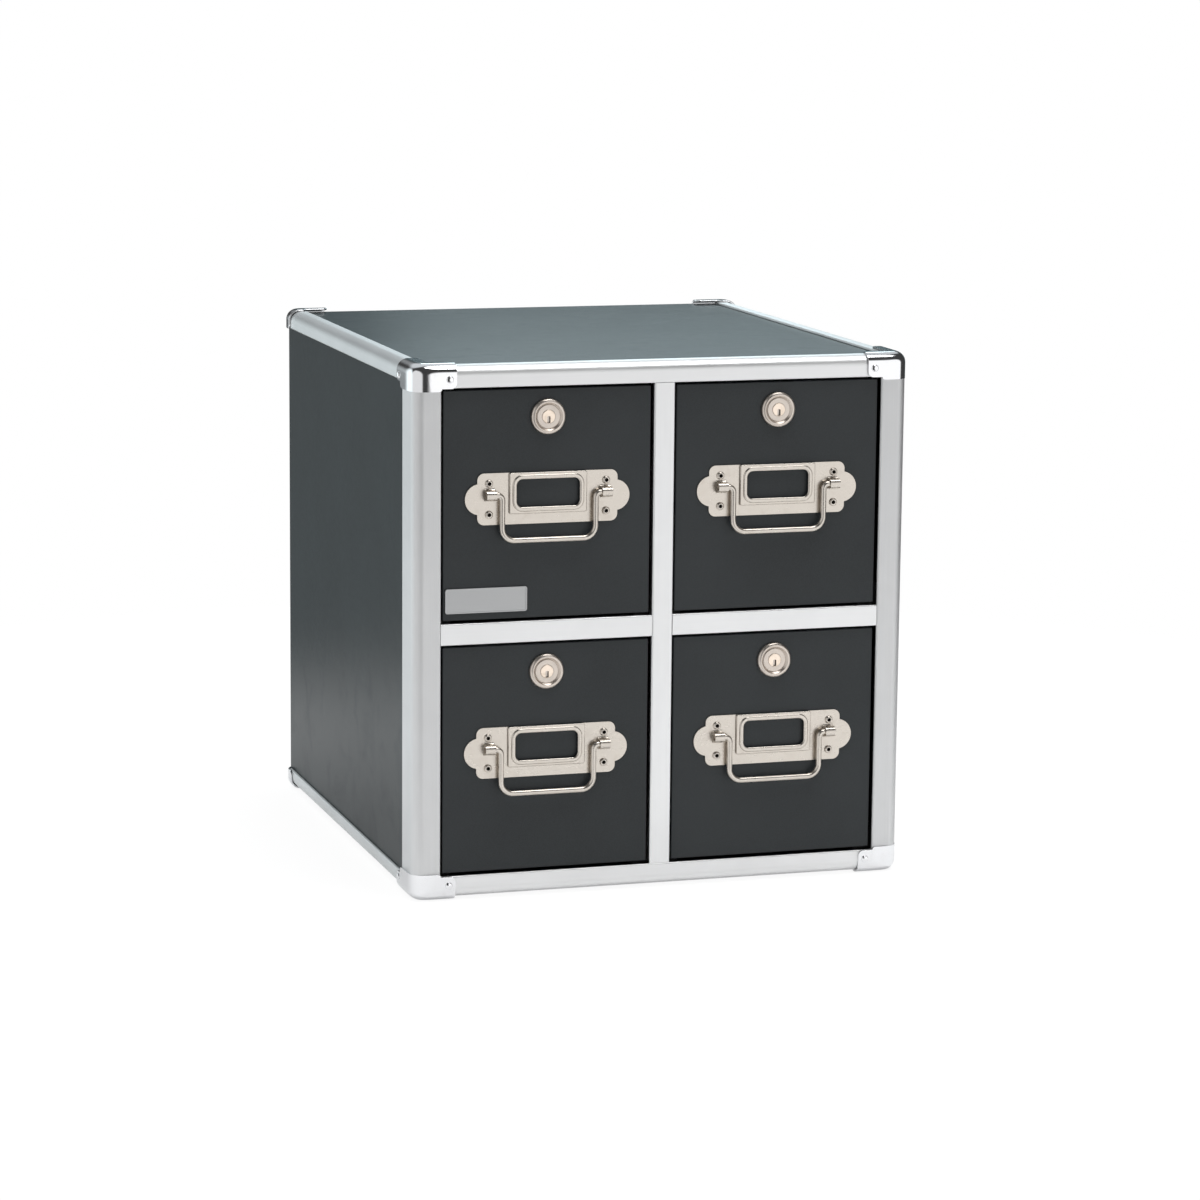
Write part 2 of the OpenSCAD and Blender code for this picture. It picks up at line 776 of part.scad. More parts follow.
top_board();
bottom_board();
side_board(-1);  // left_board
side_board(1);  // right_board
back_board();
partition();
shelf(-1);  // left_shelf
shelf(1);  // right_shelf
post(-1);  // left_post
post(1);  // right_post
top_front_rail();
bottom_front_rail();
top_edge(-1);  // top_left_edge
top_edge(1);  // top_right_edge
bottom_edge(-1);  // bottom_left_edge
bottom_edge(1);  // bottom_right_edge
centre_bar();
mid_bar(-1);  // left_mid_bar
mid_bar(1);  // right_mid_bar
corner_caps(-1);  // front_corner_caps
corner_caps(1);  // rear_corner_caps
cap_rivets();
drawer_runners();
badge_plate();
for (bay = BAYS) {
    drawer_front(bay);
    drawer_tray(bay);
    pull_plate(bay);
    pull_rivets(bay);
    bail(bay);
    lock_body(bay);
    lock_nut(bay);
    lock_plug(bay);
    lock_cam(bay);
}
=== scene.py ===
"""Disc drawer cabinet: four locking drawers in dark boards with metal edges and capped corners.

Lengths are in metres, +Z is up and the front looks along -Y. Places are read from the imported
model's nodes, and a fitting that repeats is modelled once and copied.
"""

import json
import logging
import math
from contextlib import contextmanager
from dataclasses import dataclass
from enum import Enum
from typing import Any, Callable, Iterator, Sequence

import bmesh
import bpy
from mathutils import Matrix, Vector


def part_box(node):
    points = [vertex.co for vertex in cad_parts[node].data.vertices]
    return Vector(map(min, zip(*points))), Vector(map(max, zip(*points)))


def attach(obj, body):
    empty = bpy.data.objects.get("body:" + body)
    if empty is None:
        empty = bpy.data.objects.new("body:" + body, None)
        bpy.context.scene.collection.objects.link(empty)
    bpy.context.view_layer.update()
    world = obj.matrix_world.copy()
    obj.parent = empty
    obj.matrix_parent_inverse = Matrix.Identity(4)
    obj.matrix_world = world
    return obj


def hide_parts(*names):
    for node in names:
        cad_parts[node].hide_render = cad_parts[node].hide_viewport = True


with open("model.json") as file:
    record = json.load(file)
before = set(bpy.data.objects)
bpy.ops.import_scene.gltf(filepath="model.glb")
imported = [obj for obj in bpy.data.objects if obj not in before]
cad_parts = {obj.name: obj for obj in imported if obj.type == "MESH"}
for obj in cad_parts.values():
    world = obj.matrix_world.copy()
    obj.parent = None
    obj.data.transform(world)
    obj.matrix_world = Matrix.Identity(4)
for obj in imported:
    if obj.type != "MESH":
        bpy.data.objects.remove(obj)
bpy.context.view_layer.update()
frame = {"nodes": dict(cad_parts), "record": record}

LOG = logging.getLogger("disc_cabinet")
MM = 0.001
# Lengths that differ by less than this agree.
NEAR = 0.01 * MM
# Cosines above which a face looks along a way, roughly and truly.
FACING = 0.9
ALIGNED = 0.999
# Angle between two faces, in radians, above which the edge between them is sharp.
SHARP = 1.0
# A face with more corners than this is a round.
FEW_CORNERS = 8
# How far a pull's rivets sit beside and above the middle of its plate.
PULL_RIVET = (43 * MM, 11 * MM)

Colour = tuple[float, float, float]
Triple = Sequence[float]
Test = Callable[[Any], bool]


class Way(Enum):
    """Directions in the shared frame."""

    RIGHT = (1, 0, 0)
    LEFT = (-1, 0, 0)
    BACK = (0, 1, 0)
    FRONT = (0, -1, 0)
    UP = (0, 0, 1)
    DOWN = (0, 0, -1)


class Axis(Enum):
    """Axes of the shared frame, by their place in a vector."""

    X = 0
    Y = 1
    Z = 2


class Pick(Enum):
    """What a test selects in edit mode."""

    VERT = "verts"
    EDGE = "edges"
    FACE = "faces"


class Slot(Enum):
    """Material slots of the record; no piece is given one here."""

    LAMINATE = "laminate"
    ALUMINIUM = "aluminium"
    CAP_CHROME = "cap_chrome"
    NICKEL = "nickel"
    LOCK_CHROME = "lock_chrome"
    LOCK_BRASS = "lock_brass"
    BADGE_METAL = "badge_metal"
    TRAY_WOOD = "tray_wood"


class Bay(Enum):
    """The four drawer places; fittings are modelled for the first."""

    UPPER_LEFT = "upper_left"
    UPPER_RIGHT = "upper_right"
    LOWER_LEFT = "lower_left"
    LOWER_RIGHT = "lower_right"


def near(first: float, second: float) -> bool:
    """Whether two lengths agree to a hundredth of a millimetre."""
    return abs(first - second) < NEAR


def middle(item: Any) -> Vector:
    """Mean of the corners of a face or an edge."""
    return sum((corner.co for corner in item.verts), Vector()) / len(item.verts)


def runs_along(edge: Any, axis: Axis) -> bool:
    """Whether an edge lies along an axis."""
    span = edge.verts[1].co - edge.verts[0].co
    return abs(span[axis.value]) > ALIGNED * span.length


def at_height(edge: Any, height: float) -> bool:
    """Whether both ends of an edge lie at a height."""
    return all(near(end.co.z, height) for end in edge.verts)


def is_crown(face: Any) -> bool:
    """Whether a face is a round about the Z axis that looks up."""
    return face.normal.z > ALIGNED and middle(face).xy.length < NEAR and len(face.verts) > FEW_CORNERS


def is_foot(face: Any) -> bool:
    """Whether a face is a round about the Z axis that looks down."""
    return face.normal.z < -ALIGNED and middle(face).xy.length < NEAR and len(face.verts) > FEW_CORNERS


def frame_at(origin: Triple, first: Triple, second: Triple, third: Triple) -> Matrix:
    """The matrix that carries the origin to a place, and X, Y and Z to three directions there."""
    turn = Matrix((first, second, third)).transposed().to_4x4()
    return Matrix.Translation(Vector(origin)) @ turn


def turn_to(axis: Axis) -> tuple[float, float, float]:
    """The rotation that lays a primitive's own Z along an axis."""
    quarter = math.pi / 2
    return {Axis.X: (0, quarter, 0), Axis.Y: (quarter, 0, 0), Axis.Z: (0, 0, 0)}[axis]


def clear_bench() -> None:
    """Leaves edit mode and deselects everything."""
    held = bpy.context.view_layer.objects.active
    if held is not None and held.mode != "OBJECT":
        bpy.ops.object.mode_set(mode="OBJECT")
    bpy.ops.object.select_all(action="DESELECT")


class Workpiece:
    """One mesh on the bench, shaped with edit-mode tools."""

    def __init__(self, obj: bpy.types.Object) -> None:
        """Takes up an object."""
        self.obj = obj

    @classmethod
    def adopt(cls, name: str) -> "Workpiece":
        """Takes up the primitive that was just added, with its place and size in the mesh.

        Args:
            name: The object's name.

        Returns:
            The new workpiece.
        """
        obj = bpy.context.view_layer.objects.active
        obj.name = name
        obj.data.name = name
        bpy.ops.object.transform_apply(location=True, rotation=True, scale=True)
        return cls(obj)

    @classmethod
    def block(cls, name: str, low: Triple, high: Triple) -> "Workpiece":
        """Adds a block.

        Args:
            name: The object's name.
            low: Its lowest corner.
            high: Its highest corner.

        Returns:
            The new workpiece.
        """
        clear_bench()
        foot, head = Vector(low), Vector(high)
        bpy.ops.mesh.primitive_cube_add(size=1, location=(foot + head) / 2)
        bpy.context.view_layer.objects.active.scale = head - foot
        return cls.adopt(name)

    @classmethod
    def rod(cls, name: str, centre: Triple, radius: float, length: float,
            axis: Axis = Axis.Z, sides: int = 48) -> "Workpiece":
        """Adds a round rod.

        Args:
            name: The object's name.
            centre: Its middle.
            radius: Its radius.
            length: Its length.
            axis: The axis that it lies along.
            sides: How many sides it has.

        Returns:
            The new workpiece.
        """
        clear_bench()
        bpy.ops.mesh.primitive_cylinder_add(
            vertices=sides, radius=radius, depth=length, location=centre, rotation=turn_to(axis))
        return cls.adopt(name)

    @classmethod
    def disc(cls, name: str, centre: Triple, radius: float, axis: Axis = Axis.Z,
             sides: int = 20) -> "Workpiece":
        """Adds a flat round.

        Args:
            name: The object's name.
            centre: Its middle.
            radius: Its radius.
            axis: The axis that it faces.
            sides: How many sides it has.

        Returns:
            The new workpiece.
        """
        clear_bench()
        bpy.ops.mesh.primitive_circle_add(
            vertices=sides, radius=radius, fill_type="NGON", location=centre, rotation=turn_to(axis))
        return cls.adopt(name)

    def hold(self) -> None:
        """Selects this object alone and makes it the active one."""
        clear_bench()
        self.obj.select_set(True)
        bpy.context.view_layer.objects.active = self.obj

    @contextmanager
    def edit(self, kind: Pick, test: Test) -> Iterator[None]:
        """Opens edit mode with only what passes a test selected, and leaves it afterwards.

        Args:
            kind: What the test looks at.
            test: Picks what is selected.

        Yields:
            Nothing: the tools that the caller uses meanwhile act on the selection.
        """
        self.hold()
        bpy.ops.object.mode_set(mode="EDIT")
        bpy.ops.mesh.select_mode(type=kind.name)
        bpy.ops.mesh.select_all(action="DESELECT")
        mesh = bmesh.from_edit_mesh(self.obj.data)
        for item in getattr(mesh, kind.value):
            if test(item):
                item.select_set(True)
        mesh.select_flush_mode()
        bmesh.update_edit_mesh(self.obj.data)
        yield
        bpy.ops.object.mode_set(mode="OBJECT")

    def extrude(self, test: Test, offset: Triple) -> "Workpiece":
        """Draws the faces that pass a test out by an offset.

        Args:
            test: Picks the faces.
            offset: How far they go, as a vector.

        Returns:
            This workpiece.
        """
        with self.edit(Pick.FACE, test):
            bpy.ops.mesh.extrude_region_move(TRANSFORM_OT_translate={"value": offset})
        return self

    def inset(self, test: Test, width: float, depth: float = 0) -> "Workpiece":
        """Insets the faces that pass a test by a width, and raises them by a depth.

        Args:
            test: Picks the faces.
            width: How wide the new rim is.
            depth: How far the inner face rises.

        Returns:
            This workpiece.
        """
        with self.edit(Pick.FACE, test):
            bpy.ops.mesh.inset(thickness=width, depth=depth)
        return self

    def bevel_edges(self, test: Test, width: float, steps: int,
                    profile: float = 0.5) -> "Workpiece":
        """Rounds the edges that pass a test.

        Args:
            test: Picks the edges.
            width: How far the rounding reaches from the edge.
            steps: How many facets it has.
            profile: Its fullness; a half is a quarter circle.

        Returns:
            This workpiece.
        """
        with self.edit(Pick.EDGE, test):
            bpy.ops.mesh.bevel(offset=width, segments=steps, profile=profile, affect="EDGES")
        return self

    def bevel_corners(self, test: Test, width: float, steps: int) -> "Workpiece":
        """Rounds the corner points that pass a test, in their own face.

        Args:
            test: Picks the points.
            width: How far the rounding reaches from the point.
            steps: How many facets it has.

        Returns:
            This workpiece.
        """
        with self.edit(Pick.VERT, test):
            bpy.ops.mesh.bevel(offset=width, segments=steps, profile=0.5, affect="VERTICES")
        return self

    def bisect(self, point: Triple, normal: Triple, test: Test | None = None) -> "Workpiece":
        """Cuts the faces that pass a test along a plane and keeps both sides.

        Args:
            point: A point of the plane.
            normal: The plane's normal.
            test: Picks the faces, and takes them all if it is left out.

        Returns:
            This workpiece.
        """
        with self.edit(Pick.FACE, test or (lambda face: True)):
            bpy.ops.mesh.bisect(plane_co=point, plane_no=normal)
        return self

    def delete_faces(self, test: Test) -> "Workpiece":
        """Deletes the faces that pass a test.

        Args:
            test: Picks the faces.

        Returns:
            This workpiece.
        """
        with self.edit(Pick.FACE, test):
            bpy.ops.mesh.delete(type="FACE")
        return self

    def merge_flats(self, within: float = 0.5) -> "Workpiece":
        """Makes one face of each run of faces that lie in one plane.

        Args:
            within: The angle in degrees below which faces count as one plane.

        Returns:
            This workpiece.
        """
        with self.edit(Pick.FACE, lambda face: True):
            bpy.ops.mesh.dissolve_limited(angle_limit=math.radians(within))
        return self

    def clean(self) -> "Workpiece":
        """Merges doubled points and turns the faces outward.

        Returns:
            This workpiece.
        """
        with self.edit(Pick.VERT, lambda point: True):
            bpy.ops.mesh.remove_doubles(threshold=NEAR / 10)
            bpy.ops.mesh.normals_make_consistent(inside=False)
        return self

    def apply(self, kind: str, **settings: Any) -> "Workpiece":
        """Adds a modifier with some settings and applies it.

        Args:
            kind: The modifier's type.
            **settings: Its settings.

        Returns:
            This workpiece.
        """
        self.hold()
        modifier = self.obj.modifiers.new(kind.title(), kind)
        for name, value in settings.items():
            setattr(modifier, name, value)
        bpy.ops.object.modifier_apply(modifier=modifier.name)
        return self

    def unite(self, other: "Workpiece") -> "Workpiece":
        """Welds another workpiece to this one and uses it up.

        Args:
            other: What is welded on.

        Returns:
            This workpiece.
        """
        self.apply("BOOLEAN", operation="UNION", solver="EXACT", object=other.obj)
        other.discard()
        return self

    def cut(self, other: "Workpiece") -> "Workpiece":
        """Cuts another workpiece out of this one and uses it up.

        Args:
            other: The cutter.

        Returns:
            This workpiece.
        """
        self.apply("BOOLEAN", operation="DIFFERENCE", solver="EXACT", object=other.obj)
        other.discard()
        return self

    def soften(self, width: float, steps: int = 2, above: float = 35) -> "Workpiece":
        """Rounds every edge that is sharper than an angle in degrees."""
        return self.apply("BEVEL", width=width, segments=steps, limit_method="ANGLE",
                          angle_limit=math.radians(above), harden_normals=False)

    def smooth(self, below: float = 32) -> "Workpiece":
        """Shades the faces as one where they meet at less than an angle in degrees.

        Args:
            below: The angle.

        Returns:
            This workpiece.
        """
        self.hold()
        bpy.ops.object.shade_smooth_by_angle(angle=math.radians(below))
        return self

    def level(self) -> "Workpiece":
        """Lets broad faces stay flat to the eye where they run into rounded edges."""
        return self.apply("WEIGHTED_NORMAL", mode="FACE_AREA", weight=60, keep_sharp=True)

    def place(self, matrix: Matrix) -> "Workpiece":
        """Moves the mesh by a matrix, and keeps the faces outward in a mirror.

        Args:
            matrix: The move.

        Returns:
            This workpiece.
        """
        self.obj.data.transform(matrix)
        if matrix.determinant() < 0:
            self.obj.data.flip_normals()
        return self

    def copy(self, name: str, matrix: Matrix) -> "Workpiece":
        """Makes a copy with its own mesh.

        Args:
            name: The copy's name.
            matrix: Where the copy goes.

        Returns:
            The copy.
        """
        twin = self.obj.copy()
        twin.data = self.obj.data.copy()
        twin.name = name
        twin.data.name = name
        bpy.context.scene.collection.objects.link(twin)
        return Workpiece(twin).place(matrix)

    def join(self, others: Sequence["Workpiece"]) -> "Workpiece":
        """Takes other workpieces into this object as they lie.

        Args:
            others: What it takes in.

        Returns:
            This workpiece.
        """
        self.hold()
        for other in others:
            other.obj.select_set(True)
        bpy.ops.object.join()
        return self

    def discard(self) -> None:
        """Takes the object off the bench."""
        bpy.data.objects.remove(self.obj)


class Wire:
    """A shader socket that takes part in sums; each sum adds the maths node that it needs."""

    def __init__(self, graph: "Graph", socket: bpy.types.NodeSocket) -> None:
        """Wraps a socket of a graph's node."""
        self.graph = graph
        self.socket = socket

    def _sum(self, operation: str, first: Any, second: Any) -> "Wire":
        """Adds one maths node."""
        return self.graph.node("ShaderNodeMath", {"operation": operation}, {0: first, 1: second})

    def __add__(self, other: Any) -> "Wire":
        """Sum."""
        return self._sum("ADD", self, other)

    def __radd__(self, other: Any) -> "Wire":
        """Sum with a number on the left."""
        return self._sum("ADD", other, self)

    def __sub__(self, other: Any) -> "Wire":
        """Difference."""
        return self._sum("SUBTRACT", self, other)

    def __rsub__(self, other: Any) -> "Wire":
        """Difference from a number."""
        return self._sum("SUBTRACT", other, self)

    def __mul__(self, other: Any) -> "Wire":
        """Product."""
        return self._sum("MULTIPLY", self, other)

    def __rmul__(self, other: Any) -> "Wire":
        """Product with a number on the left."""
        return self._sum("MULTIPLY", other, self)


class Graph:
    """A node tree that is built from the wires' sums and one method for every other node."""

    def __init__(self, tree: bpy.types.NodeTree) -> None:
        """Takes up a node tree and empties it."""
        self.tree = tree
        self.tree.nodes.clear()

    def node(self, kind: str, settings: dict[str, Any] | None = None,
             values: dict[str | int, Any] | None = None, out: str | int = 0) -> Wire:
        """Adds a node.

        Args:
            kind: The node's type.
            settings: Its settings, which are set before its sockets.
            values: What its input sockets take, by name or number: a wire, a number or a vector.
            out: Which output to give back.

        Returns:
            The wire of that output.
        """
        made = self.tree.nodes.new(kind)
        for name, value in (settings or {}).items():
            setattr(made, name, value)
        for name, value in (values or {}).items():
            if isinstance(value, Wire):
                self.tree.links.new(value.socket, made.inputs[name])
            else:
                made.inputs[name].default_value = value
        return Wire(self, made.outputs[out] if made.outputs else None)

    def coords(self, scale: Triple = (1, 1, 1), turn: Triple = (0, 0, 0)) -> Wire:
        """Object coordinates, stretched and turned by a mapping node."""
        place = self.node("ShaderNodeTexCoord", out="Object")
        return self.node("ShaderNodeMapping", {}, {"Vector": place, "Scale": scale, "Rotation": turn})

    def noise(self, place: Wire, scale: float, detail: float = 2, rough: float = 0.5,
              warp: float = 0) -> Wire:
        """Adds noise at some coordinates, from 0 to 1 about a half.

        Args:
            place: The coordinates.
            scale: How fine it is.
            detail: How many finer layers it has.
            rough: How strong the finer layers are.
            warp: How far it is stirred.

        Returns:
            The noise.
        """
        return self.node("ShaderNodeTexNoise", {}, {
            "Vector": place, "Scale": scale, "Detail": detail, "Roughness": rough,
            "Distortion": warp})

    def spread(self, value: Wire, low: float, high: float) -> Wire:
        """A smooth step from 0 at one value to 1 at another."""
        return self.node("ShaderNodeMapRange", {"interpolation_type": "SMOOTHSTEP"},
                         {"Value": value, "From Min": low, "From Max": high})

    def mix(self, share: Any, first: Any, second: Any) -> Wire:
        """Mixes two colours by a share.

        Args:
            share: How much there is of the second.
            first: The colour at 0.
            second: The colour at 1.

        Returns:
            The mixed colour.
        """
        sides = [side if isinstance(side, Wire) else (*side, 1) for side in (first, second)]
        return self.node("ShaderNodeMix", {"data_type": "RGBA"},
                         {0: share, 6: sides[0], 7: sides[1]}, out=2)

    def edges(self, reach: float) -> Wire:
        """Finds how near a place is to an edge.

        Args:
            reach: How far from it an edge is felt.

        Returns:
            A share, 0 on the flat and 1 where the surface turns.
        """
        rounded = self.node("ShaderNodeBevel", {"samples": 4}, {"Radius": reach})
        plain = self.node("ShaderNodeNewGeometry", out="Normal")
        agree = self.node("ShaderNodeVectorMath", {"operation": "DOT_PRODUCT"},
                          {0: rounded, 1: plain}, out="Value")
        return self.spread(1 - agree, low=0.01, high=0.2)

    def hollows(self, reach: float) -> Wire:
        """Finds how deep a point lies in a hollow of its own piece.

        Args:
            reach: How far off a wall is felt.

        Returns:
            A share from 0 to 1.
        """
        open_share = self.node("ShaderNodeAmbientOcclusion", {"samples": 8, "only_local": True},
                               {"Distance": reach}, out="AO")
        return self.spread(1 - open_share, low=0.3, high=0.7)

    def bump(self, height: Wire, strength: float, depth: float) -> Wire:
        """A normal that follows a height."""
        return self.node("ShaderNodeBump", {}, {
            "Height": height, "Strength": strength, "Distance": depth})

    def principled(self, values: dict[str, Any]) -> None:
        """Ends a material with a principled shader that takes some socket values."""
        shader = self.node("ShaderNodeBsdfPrincipled", {}, values)
        self.node("ShaderNodeOutputMaterial", {}, {"Surface": shader})


@dataclass(frozen=True)
class Finish:
    """What every finish has: a name, a colour and a roughness."""

    name: str
    colour: Colour
    roughness: float

    def tone(self, share: float) -> Colour:
        """The colour times a share."""
        return tuple(channel * share for channel in self.colour)

    def dress(self, graph: Graph) -> None:
        """Builds the shader in a graph, as each kind of finish does in its own way."""
        raise NotImplementedError

    def material(self) -> bpy.types.Material:
        """Makes the material.

        Returns:
            The material.
        """
        made = bpy.data.materials.new(self.name)
        made.use_nodes = True
        self.dress(Graph(made.node_tree))
        return made


@dataclass(frozen=True)
class Laminate(Finish):
    """Dark film on board: a fine pebbled grain, faint clouds and rubbed edges."""

    sheen: float = 0.5
    grain: float = 1500
    depth: float = 0.05 * MM
    clouds: float = 7
    smears: float = 26
    scuffs: float = 160
    edge_reach: float = 0.9 * MM

    def dress(self, graph: Graph) -> None:
        """Builds the shader in a graph.

        Args:
            graph: The material's empty graph.
        """
        place = graph.coords()
        pebble = graph.noise(place, self.grain, detail=2, rough=0.55)
        cloud = graph.noise(place, self.clouds, detail=3, rough=0.6)
        smear = graph.noise(place, self.smears, detail=4, rough=0.65, warp=0.6)
        smear = graph.spread(smear, 0.45, 0.75)
        scuff = graph.noise(place, self.scuffs, detail=3)
        rubbed = graph.edges(self.edge_reach) * graph.spread(scuff, 0.35, 0.7)
        base = graph.mix(graph.spread(cloud, 0.3, 0.7), self.tone(0.88), self.tone(1.12))
        base = graph.mix(graph.spread(pebble, 0.38, 0.62) * 0.32, base, self.tone(1.5))
        base = graph.mix(rubbed * 0.5, base, self.tone(3.2))
        graph.principled({
            "Base Color": base,
            "Roughness": self.roughness + (pebble - 0.5) * 0.12 + smear * 0.05 - rubbed * 0.06,
            "Specular IOR Level": self.sheen,
            "Normal": graph.bump(pebble, strength=0.5, depth=self.depth)})


@dataclass(frozen=True)
class Satin(Finish):
    """Metal with fine lines drawn along one axis, faint stains and polished edges."""

    along: Axis = Axis.X
    lines: float = 2600
    line_length: float = 160
    band: float = 9
    stains: float = 14
    depth: float = 0.006 * MM
    edge_reach: float = 0.8 * MM

    def dress(self, graph: Graph) -> None:
        """Builds the shader in a graph.

        Args:
            graph: The material's empty graph.
        """
        stretch = [self.lines] * 3
        stretch[self.along.value] = self.lines / self.line_length
        line = graph.noise(graph.coords(stretch), scale=1, detail=3, rough=0.6)
        broad = graph.noise(graph.coords([count / self.band for count in stretch]), scale=1, detail=2)
        stain = graph.noise(graph.coords(), self.stains, detail=3, rough=0.6, warp=0.4)
        polished = graph.edges(self.edge_reach)
        base = graph.mix(graph.spread(stain, 0.3, 0.75), self.tone(0.95), self.tone(1.02))
        base = graph.mix((line * 0.6 + broad * 0.4) * 0.5, base, self.tone(0.86))
        base = graph.mix(polished * 0.5, base, self.tone(1.06))
        graph.principled({
            "Base Color": base,
            "Metallic": 1.0,
            "Roughness": self.roughness + (line - 0.5) * 0.16 + (stain - 0.5) * 0.08
            - polished * 0.06,
            "Normal": graph.bump(line, strength=0.5, depth=self.depth)})


@dataclass(frozen=True)
class Plate(Finish):
    """Bright plated metal: pressing waves, wiping marks, pits, and painted shade that darkens the hollows.
    """

    waves: float = 55
    wave_depth: float = 0.02 * MM
    tarnish: float = 0.12
    tarnish_colour: Colour = (0.45, 0.42, 0.38)
    # How far the painted shade in the hollows reaches, and how dark it leaves them.
    grime_reach: float = 2.5 * MM
    grime_tone: float = 0.1
    wipes: tuple[float, float, float] = (240, 240, 900)
    wipe_turn: tuple[float, float, float] = (0.3, 0.5, 0.2)
    dulls: float = 120
    pits: float = 2300
    edge_reach: float = 0.7 * MM

    def dress(self, graph: Graph) -> None:
        """Builds the shader in a graph.

        Args:
            graph: The material's empty graph.
        """
        place = graph.coords()
        wave = graph.noise(place, self.waves, detail=1, rough=0.4)
        wipe = graph.noise(graph.coords(self.wipes, self.wipe_turn), scale=1, detail=4, rough=0.6, warp=0.3)
        dull = graph.spread(graph.noise(place, self.dulls, detail=4, rough=0.6, warp=0.5), 0.5, 0.8)
        pit = graph.spread(graph.noise(place, self.pits, detail=1), 0.66, 0.76)
        worn = graph.edges(self.edge_reach)
        hollow_shade = graph.hollows(self.grime_reach)
        base = graph.mix(dull * self.tarnish, self.colour, self.tarnish_colour)
        base = graph.mix(pit * 0.1, base, self.tone(0.6))
        base = graph.mix(worn * 0.25, base, self.tone(1.05))
        # Painted shade: the piece's own hollows are darkened nearly to black and made rougher.
        shade_colour = [self.grime_tone * channel for channel in self.tarnish_colour]
        base = graph.mix(hollow_shade * 0.92, base, shade_colour)
        graph.principled({
            "Base Color": base,
            "Metallic": 1.0,
            "Roughness": self.roughness + dull * 0.07 + (wipe - 0.5) * 0.06 + pit * 0.1 + hollow_shade * 0.2,
            "Normal": graph.bump(wave + wipe * 0.04, strength=0.4, depth=self.wave_depth)})


@dataclass(frozen=True)
class Foil(Finish):
    """Paper foil on fibreboard: printed fibres, a dull skin and pale rubbed edges."""

    fibres: tuple[float, float, float] = (700, 60, 700)
    flecks: float = 900
    sheen: float = 0.35
    depth: float = 0.03 * MM
    edge_reach: float = 0.8 * MM

    def dress(self, graph: Graph) -> None:
        """Builds the shader in a graph.

        Args:
            graph: The material's empty graph.
        """
        fibre = graph.noise(graph.coords(self.fibres), scale=1, detail=4, rough=0.65)
        fleck = graph.spread(graph.noise(graph.coords(), self.flecks, detail=2), 0.6, 0.72)
        rubbed = graph.edges(self.edge_reach)
        base = graph.mix(graph.spread(fibre, 0.3, 0.7), self.tone(0.82), self.tone(1.15))
        base = graph.mix(fleck * 0.3, base, self.tone(1.7))
        base = graph.mix(rubbed * 0.35, base, self.tone(2.6))
        graph.principled({
            "Base Color": base,
            "Roughness": self.roughness + (fibre - 0.5) * 0.2,
            "Specular IOR Level": self.sheen,
            "Normal": graph.bump(fibre, strength=0.3, depth=self.depth)})


@dataclass(frozen=True)
class Paper(Finish):
    """The studio floor: lit matt paper with a faint tooth, which fades out far from the object."""

    glow: float = 0.24
    fade: tuple[float, float] = (0.45, 0.95)
    lightness: float = 0.82
    white: float = 1.05
    sheen: float = 0.2
    teeth: float = 900

    def dress(self, graph: Graph) -> None:
        """Builds the shader in a graph.

        Args:
            graph: The material's empty graph.
        """
        place = graph.coords()
        tooth = graph.noise(place, self.teeth, detail=2)
        away = graph.node("ShaderNodeVectorMath", {"operation": "LENGTH"}, {0: place}, out="Value")
        paper = graph.node("ShaderNodeBsdfPrincipled", {}, {
            "Base Color": graph.mix(tooth, self.tone(0.99), self.tone(1.0)),
            "Roughness": self.roughness,
            "Specular IOR Level": self.sheen,
            "Emission Color": (1, 1, 1, 1),
            "Emission Strength": self.glow,
            "Alpha": 1 - graph.spread(away, *self.fade)})
        white = graph.node("ShaderNodeEmission", {}, {"Strength": self.white})
        seen = graph.node("ShaderNodeLightPath", out="Is Camera Ray")
        shown = graph.node("ShaderNodeMixShader", {}, {0: seen * self.lightness, 1: paper, 2: white})
        graph.node("ShaderNodeOutputMaterial", {}, {"Surface": shown})


# The case boards take a darker, teal-tinted copy of the fronts' laminate: painted shade and a painted teal
# reflection on the case.
SHADED_CASE_FILM = Laminate("case_film", (0.0185, 0.026, 0.0285), 0.30, sheen=0.09)
FRONT_FILM = Laminate("front_film", (0.0265, 0.030, 0.032), 0.34, sheen=0.22)
BRUSHED = {axis: Satin(f"satin_aluminium_{axis.name.lower()}", (0.84, 0.845, 0.85), 0.42, along=axis)
           for axis in Axis}
# The posts and the side edges take darker copies of the rails' aluminium, the edges tinted teal: painted
# shade, and a painted teal reflection on the edges.
SHADED_POST_SATIN = Satin("satin_posts", (0.74, 0.745, 0.75), 0.58, along=Axis.Z)
SHADED_EDGE_SATIN = Satin("satin_edges", (0.75, 0.77, 0.775), 0.5, along=Axis.Y)
CAP_CHROME = Plate("cap_chrome", (0.83, 0.835, 0.85), 0.11)
NICKEL = Plate("warm_nickel", (0.62, 0.573, 0.517), 0.28, waves=110, tarnish=0.2,
               tarnish_colour=(0.5, 0.42, 0.35))
LOCK_CHROME = Plate("lock_chrome", (0.62, 0.557, 0.50), 0.33, waves=150)
# The plug's painted shade reaches far, which darkens its keyhole.
LOCK_BRASS = Plate("lock_brass", (0.92, 0.79, 0.67), 0.34, waves=220, tarnish=0.3,
                   tarnish_colour=(0.42, 0.30, 0.17), grime_reach=7 * MM)
ZINC = Plate("zinc_steel", (0.66, 0.68, 0.70), 0.38, waves=160, tarnish=0.35)
BADGE = Satin("badge_satin", (0.43, 0.435, 0.44), 0.36, along=Axis.X)
FOIL = Foil("tray_foil", (0.035, 0.035, 0.036), 0.6)
FLOOR = Paper("studio_paper", (0.70, 0.70, 0.70), 0.9)


